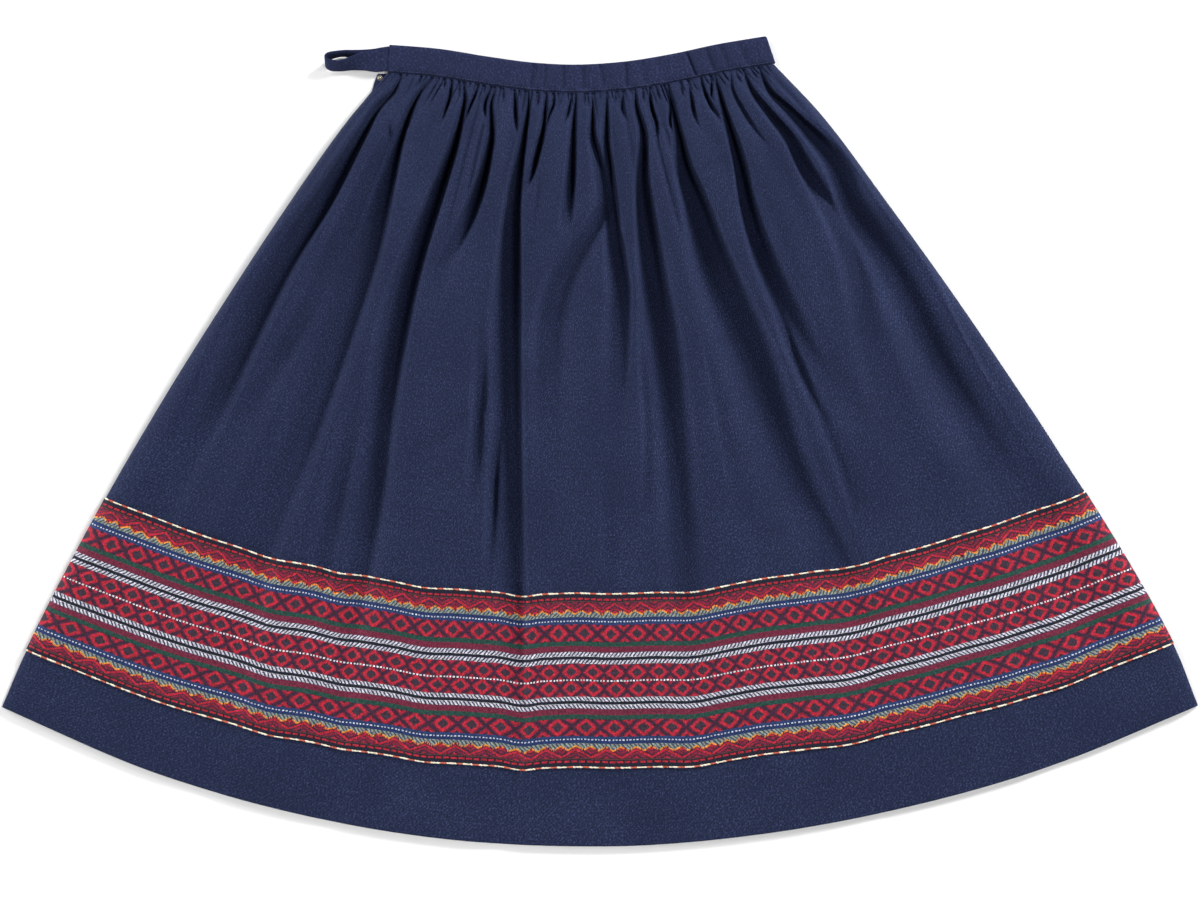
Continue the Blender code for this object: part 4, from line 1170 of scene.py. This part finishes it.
foot, top, along, up = band_plan(LOOP_STATIONS)
end_top = top[0] - along[0] * SEAM_GAP - up[0] * LOOP_INSET
end_foot = foot[0] - along[0] * SEAM_GAP + up[0] * LOOP_INSET
first = (*end_top, BAND_FRONT_Z, *end_foot, BAND_FRONT_Z)
last = (*end_top, BAND_BACK_Z, *end_foot, BAND_BACK_Z)
rows = np.array([first, *LOOP, last], float)
fine = np.linspace(0, len(rows) - 1, LOOP_STEPS * (len(rows) - 1) + 1)
curves = np.stack([smooth(fine, np.arange(len(rows)), rows[:, k]) for k in range(6)], axis=1)
waist_loop = strap("waist_loop_cloth", curves[:, :3], curves[:, 3:], LOOP_THICK, LOOP_SOFT_EDGE,
                   band_wool)
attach(waist_loop, "root")
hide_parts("waist_loop")

# Placket: a narrow strip of the wool, pressed over at both edges and sewn along the opening's back
# edge. It lies flat under the front. Each edge is rounded: how far in each point is, and how low.
PLACKET_ROUND = ((0.0, 0.45), (0.25, 0.12), (1.2, 0.0))
PLACKET_FALLS = (1, 4, 8, 12, 17, 24, 31, 38, 50, 63, 76, 83, 90)
PLACKET_MAP = 400.0

steps, drops = np.array([*PLACKET_ROUND, (PLACKET_WIDTH / 2, 0.0)]).T
steps = np.concatenate([steps, PLACKET_WIDTH - steps[-2::-1]])
drops = np.concatenate([drops, drops[-2::-1]])
rows = []
for fall in PLACKET_FALLS:
    x, y = placket_edge(float(fall))
    rows.append(np.stack([x + steps, np.full(len(steps), y), PLACKET_THICK - drops], axis=1))
grid = np.array(rows)
flat = PLACKET_MAP + grid[:, :, :2] * (1, -1)
placket = add_shell("placket_strip", grid, grid[::2, ::2] * (1, 1, 0), band_wool, flat)
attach(placket, "root")
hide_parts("placket")

# Press stud: the ball half, a turned and nickel-plated disc with a rolled rim and a small dome, sewn
# to the placket below the loop. Its sewing holes are too small to show.
STUD_PLACE = (-200.4, 330.6)
STUD_FOOT = PLACKET_THICK + SEAM_GAP
STUD_SIDES = 40
STUD_PROFILE = ((0.0, 0.0), (2.2, 0.0), (2.4, 0.12), (2.4, 0.35), (2.25, 0.5), (1.7, 0.5), (1.5, 0.42),
                (1.2, 0.45), (1.05, 0.6), (1.1, 0.85), (0.95, 1.05), (0.5, 1.14), (0.0, 1.16))


def stud_metal(name):
    """Brass with a pale nickel plating: smooth metal, dulled a little by handling."""
    made, tree, shader = new_finish(name)
    where = add_node(tree, "ShaderNodeTexCoord")
    wear = add_node(tree, "ShaderNodeTexNoise", {},
                    {"Vector": where.outputs["Object"], "Scale": 900.0, "Detail": 3.0})
    colour = add_node(tree, "ShaderNodeValToRGB", {}, {0: wear})
    set_stops(colour, ((0.35, "#7C7667"), (0.65, "#B4AE9F")))
    rough = add_node(tree, "ShaderNodeMapRange", {}, {0: wear, 3: 0.3, 4: 0.5})
    feed(shader, {"Base Color": colour, "Roughness": rough, "Metallic": 0.75})
    return made


turns = np.arange(STUD_SIDES) * 2 * np.pi / STUD_SIDES
points = [(*STUD_PLACE, STUD_FOOT)]
for radius, rise in STUD_PROFILE[1:-1]:
    for angle in turns:
        points.append((STUD_PLACE[0] + radius * np.cos(angle), STUD_PLACE[1] + radius * np.sin(angle),
                       STUD_FOOT + rise))
points.append((*STUD_PLACE, STUD_FOOT + STUD_PROFILE[-1][1]))
faces = []
rings = len(STUD_PROFILE) - 2
for k in range(STUD_SIDES):
    after = (k + 1) % STUD_SIDES
    faces.append((0, 1 + after, 1 + k))
    for ring in range(rings - 1):
        a = 1 + ring * STUD_SIDES
        b = a + STUD_SIDES
        faces.append((a + k, a + after, b + after, b + k))
    a = 1 + (rings - 1) * STUD_SIDES
    faces.append((a + k, a + after, len(points) - 1))
press_stud = add_piece("press_stud_ball", points, faces, stud_metal("nickel-plated brass"))
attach(press_stud, "root")
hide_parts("press_stud")

# Stitches: navy cotton thread, a shade paler than the wool. One row runs along the foot of the band,
# one holds the loop in its end, and a blind stitch catches the hem every centimetre.
HEM_TURN_UP = 32.0
BAND_STITCH = Thread(2.6, 1.9, 0.55, 0.45, 0.0, 0.12, 2, 1, 7)
LOOP_STITCH = Thread(2.3, 1.7, 0.5, 0.45, 0.0, 0.12, 2, 1, 8)
HEM_STITCH = Thread(10.0, 1.3, 0.6, 0.3, 0.6, 0.2, 2, 1, 9)
STITCH_INSET = 1.6
LOOP_STITCH_SPAN = (0.06, 0.94)
HEM_STITCH_SPAN = (0.01, 0.99)
HEM_STITCH_RISE = 0.02


def thread_finish(name, dark, light):
    """Twisted cotton thread: matt with a slight lustre."""
    made, tree, shader = new_finish(name)
    where = add_node(tree, "ShaderNodeTexCoord")
    fibre = add_node(tree, "ShaderNodeTexNoise", {},
                     {"Vector": where.outputs["Object"], "Scale": 1500.0, "Detail": 2.0})
    colour = add_node(tree, "ShaderNodeValToRGB", {}, {0: fibre})
    set_stops(colour, ((0.35, dark), (0.65, light)))
    feed(shader, {"Base Color": colour, "Roughness": 0.6})
    return made


sewing_thread = thread_finish("navy cotton thread", "#1E2542", "#333C60")
face_z = BAND_FRONT_Z + BAND_THICK / 2
sewn = range(3, BAND_STATIONS - 4)
stitch_line = band_foot[sewn] + band_up[sewn] * STITCH_INSET
stitch_rise = [band_relief(i, np.array([STITCH_INSET / BAND_DEPTH]))[0] for i in sewn]
waist_path = np.column_stack([stitch_line, face_z + np.array(stitch_rise)])
waist_stitches = along_paths("waist_stitches", threads, [waist_path], BAND_STITCH, sewing_thread)
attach(waist_stitches, "root")

share_up = np.linspace(*LOOP_STITCH_SPAN, 30)[:, None]
joint = between(band_foot[2], band_top[2], share_up)
joint_path = np.column_stack([joint, np.full(len(joint), face_z)])
loop_stitches = along_paths("loop_stitches", threads, [joint_path], LOOP_STITCH, sewing_thread)
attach(loop_stitches, "root")

hem_path = edge_path(CLOTH_LENGTH - HEM_TURN_UP, HEM_STITCH_RISE, *HEM_STITCH_SPAN)
hem_stitches = along_paths("hem_stitches", threads, [hem_path], HEM_STITCH, sewing_thread)
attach(hem_stitches, "root")

# Floor, lights and camera: white background paper, seven softboxes round the cloth, most of them low
# so that they graze its folds, and a camera straight above with a long lens. Places here are metres.
CAMERA_HEIGHT = 3.0
CAMERA_Y = -0.0077
LENS = 98.9
SENSOR = 36.0
FLOOR_HALF = 8.0
FLOOR_Z = -0.0003

corners = [(FLOOR_HALF * x, FLOOR_HALF * y, FLOOR_Z) for x, y in ((-1, -1), (1, -1), (1, 1), (-1, 1))]
floor_mesh = bpy.data.meshes.new("floor")
floor_mesh.from_pydata(corners, [], [(0, 1, 2, 3)])
floor = bpy.data.objects.new("floor", floor_mesh)
bpy.context.scene.collection.objects.link(floor)
paper, paper_tree, paper_shader = new_finish("white background paper")
paper_where = add_node(paper_tree, "ShaderNodeTexCoord")
paper_grain = add_node(paper_tree, "ShaderNodeTexNoise", {},
                       {"Vector": paper_where.outputs["Object"], "Scale": 3.0})
paper_tone = add_node(paper_tree, "ShaderNodeValToRGB", {}, {0: paper_grain})
set_stops(paper_tone, ((0.0, "#F4F4F3"), (1.0, "#F8F8F8")))
feed(paper_shader, {"Base Color": paper_tone, "Roughness": 0.9})
floor_mesh.materials.append(paper)

world = bpy.data.worlds.new("studio")
world.use_nodes = True
feed(world.node_tree.nodes["Background"], {"Color": (1, 1, 1, 1), "Strength": 0.03})
bpy.context.scene.world = world

# Far enough off to light the whole cloth evenly: the direction and height in degrees, and watts
Softbox = namedtuple("Softbox", "name direction height power")
SOFTBOXES = (
    Softbox("right of the waist", 45, 24, 440),
    Softbox("left of the waist", 135, 24, 135),
    Softbox("left, low", 180, 14, 365),
    Softbox("right, low", 0, 14, 170),
    Softbox("right, high", 0, 60, 100),
    Softbox("below the hem, low", 270, 14, 145),
    Softbox("left of the hem", 225, 24, 65),
)
SOFTBOX_DISTANCE = 6.0
SOFTBOX_SIZE = 1.4
for box in SOFTBOXES:
    data = bpy.data.lights.new(box.name, "AREA")
    data.size = SOFTBOX_SIZE
    data.energy = box.power
    light = bpy.data.objects.new(box.name, data)
    turned = np.radians(box.direction)
    height = np.radians(box.height)
    light.location = [SOFTBOX_DISTANCE * float(part) for part in
                      (np.cos(turned) * np.cos(height), np.sin(turned) * np.cos(height), np.sin(height))]
    light.rotation_euler = (-light.location).to_track_quat("-Z", "Y").to_euler()
    bpy.context.scene.collection.objects.link(light)

camera_data = bpy.data.cameras.new("camera")
camera_data.lens = LENS
camera_data.sensor_width = SENSOR
camera = bpy.data.objects.new("camera", camera_data)
camera.location = (0, CAMERA_Y, CAMERA_HEIGHT)
bpy.context.scene.collection.objects.link(camera)
bpy.context.scene.camera = camera
bpy.context.scene.view_settings.view_transform = "Standard"
bpy.context.scene.view_settings.look = "None"
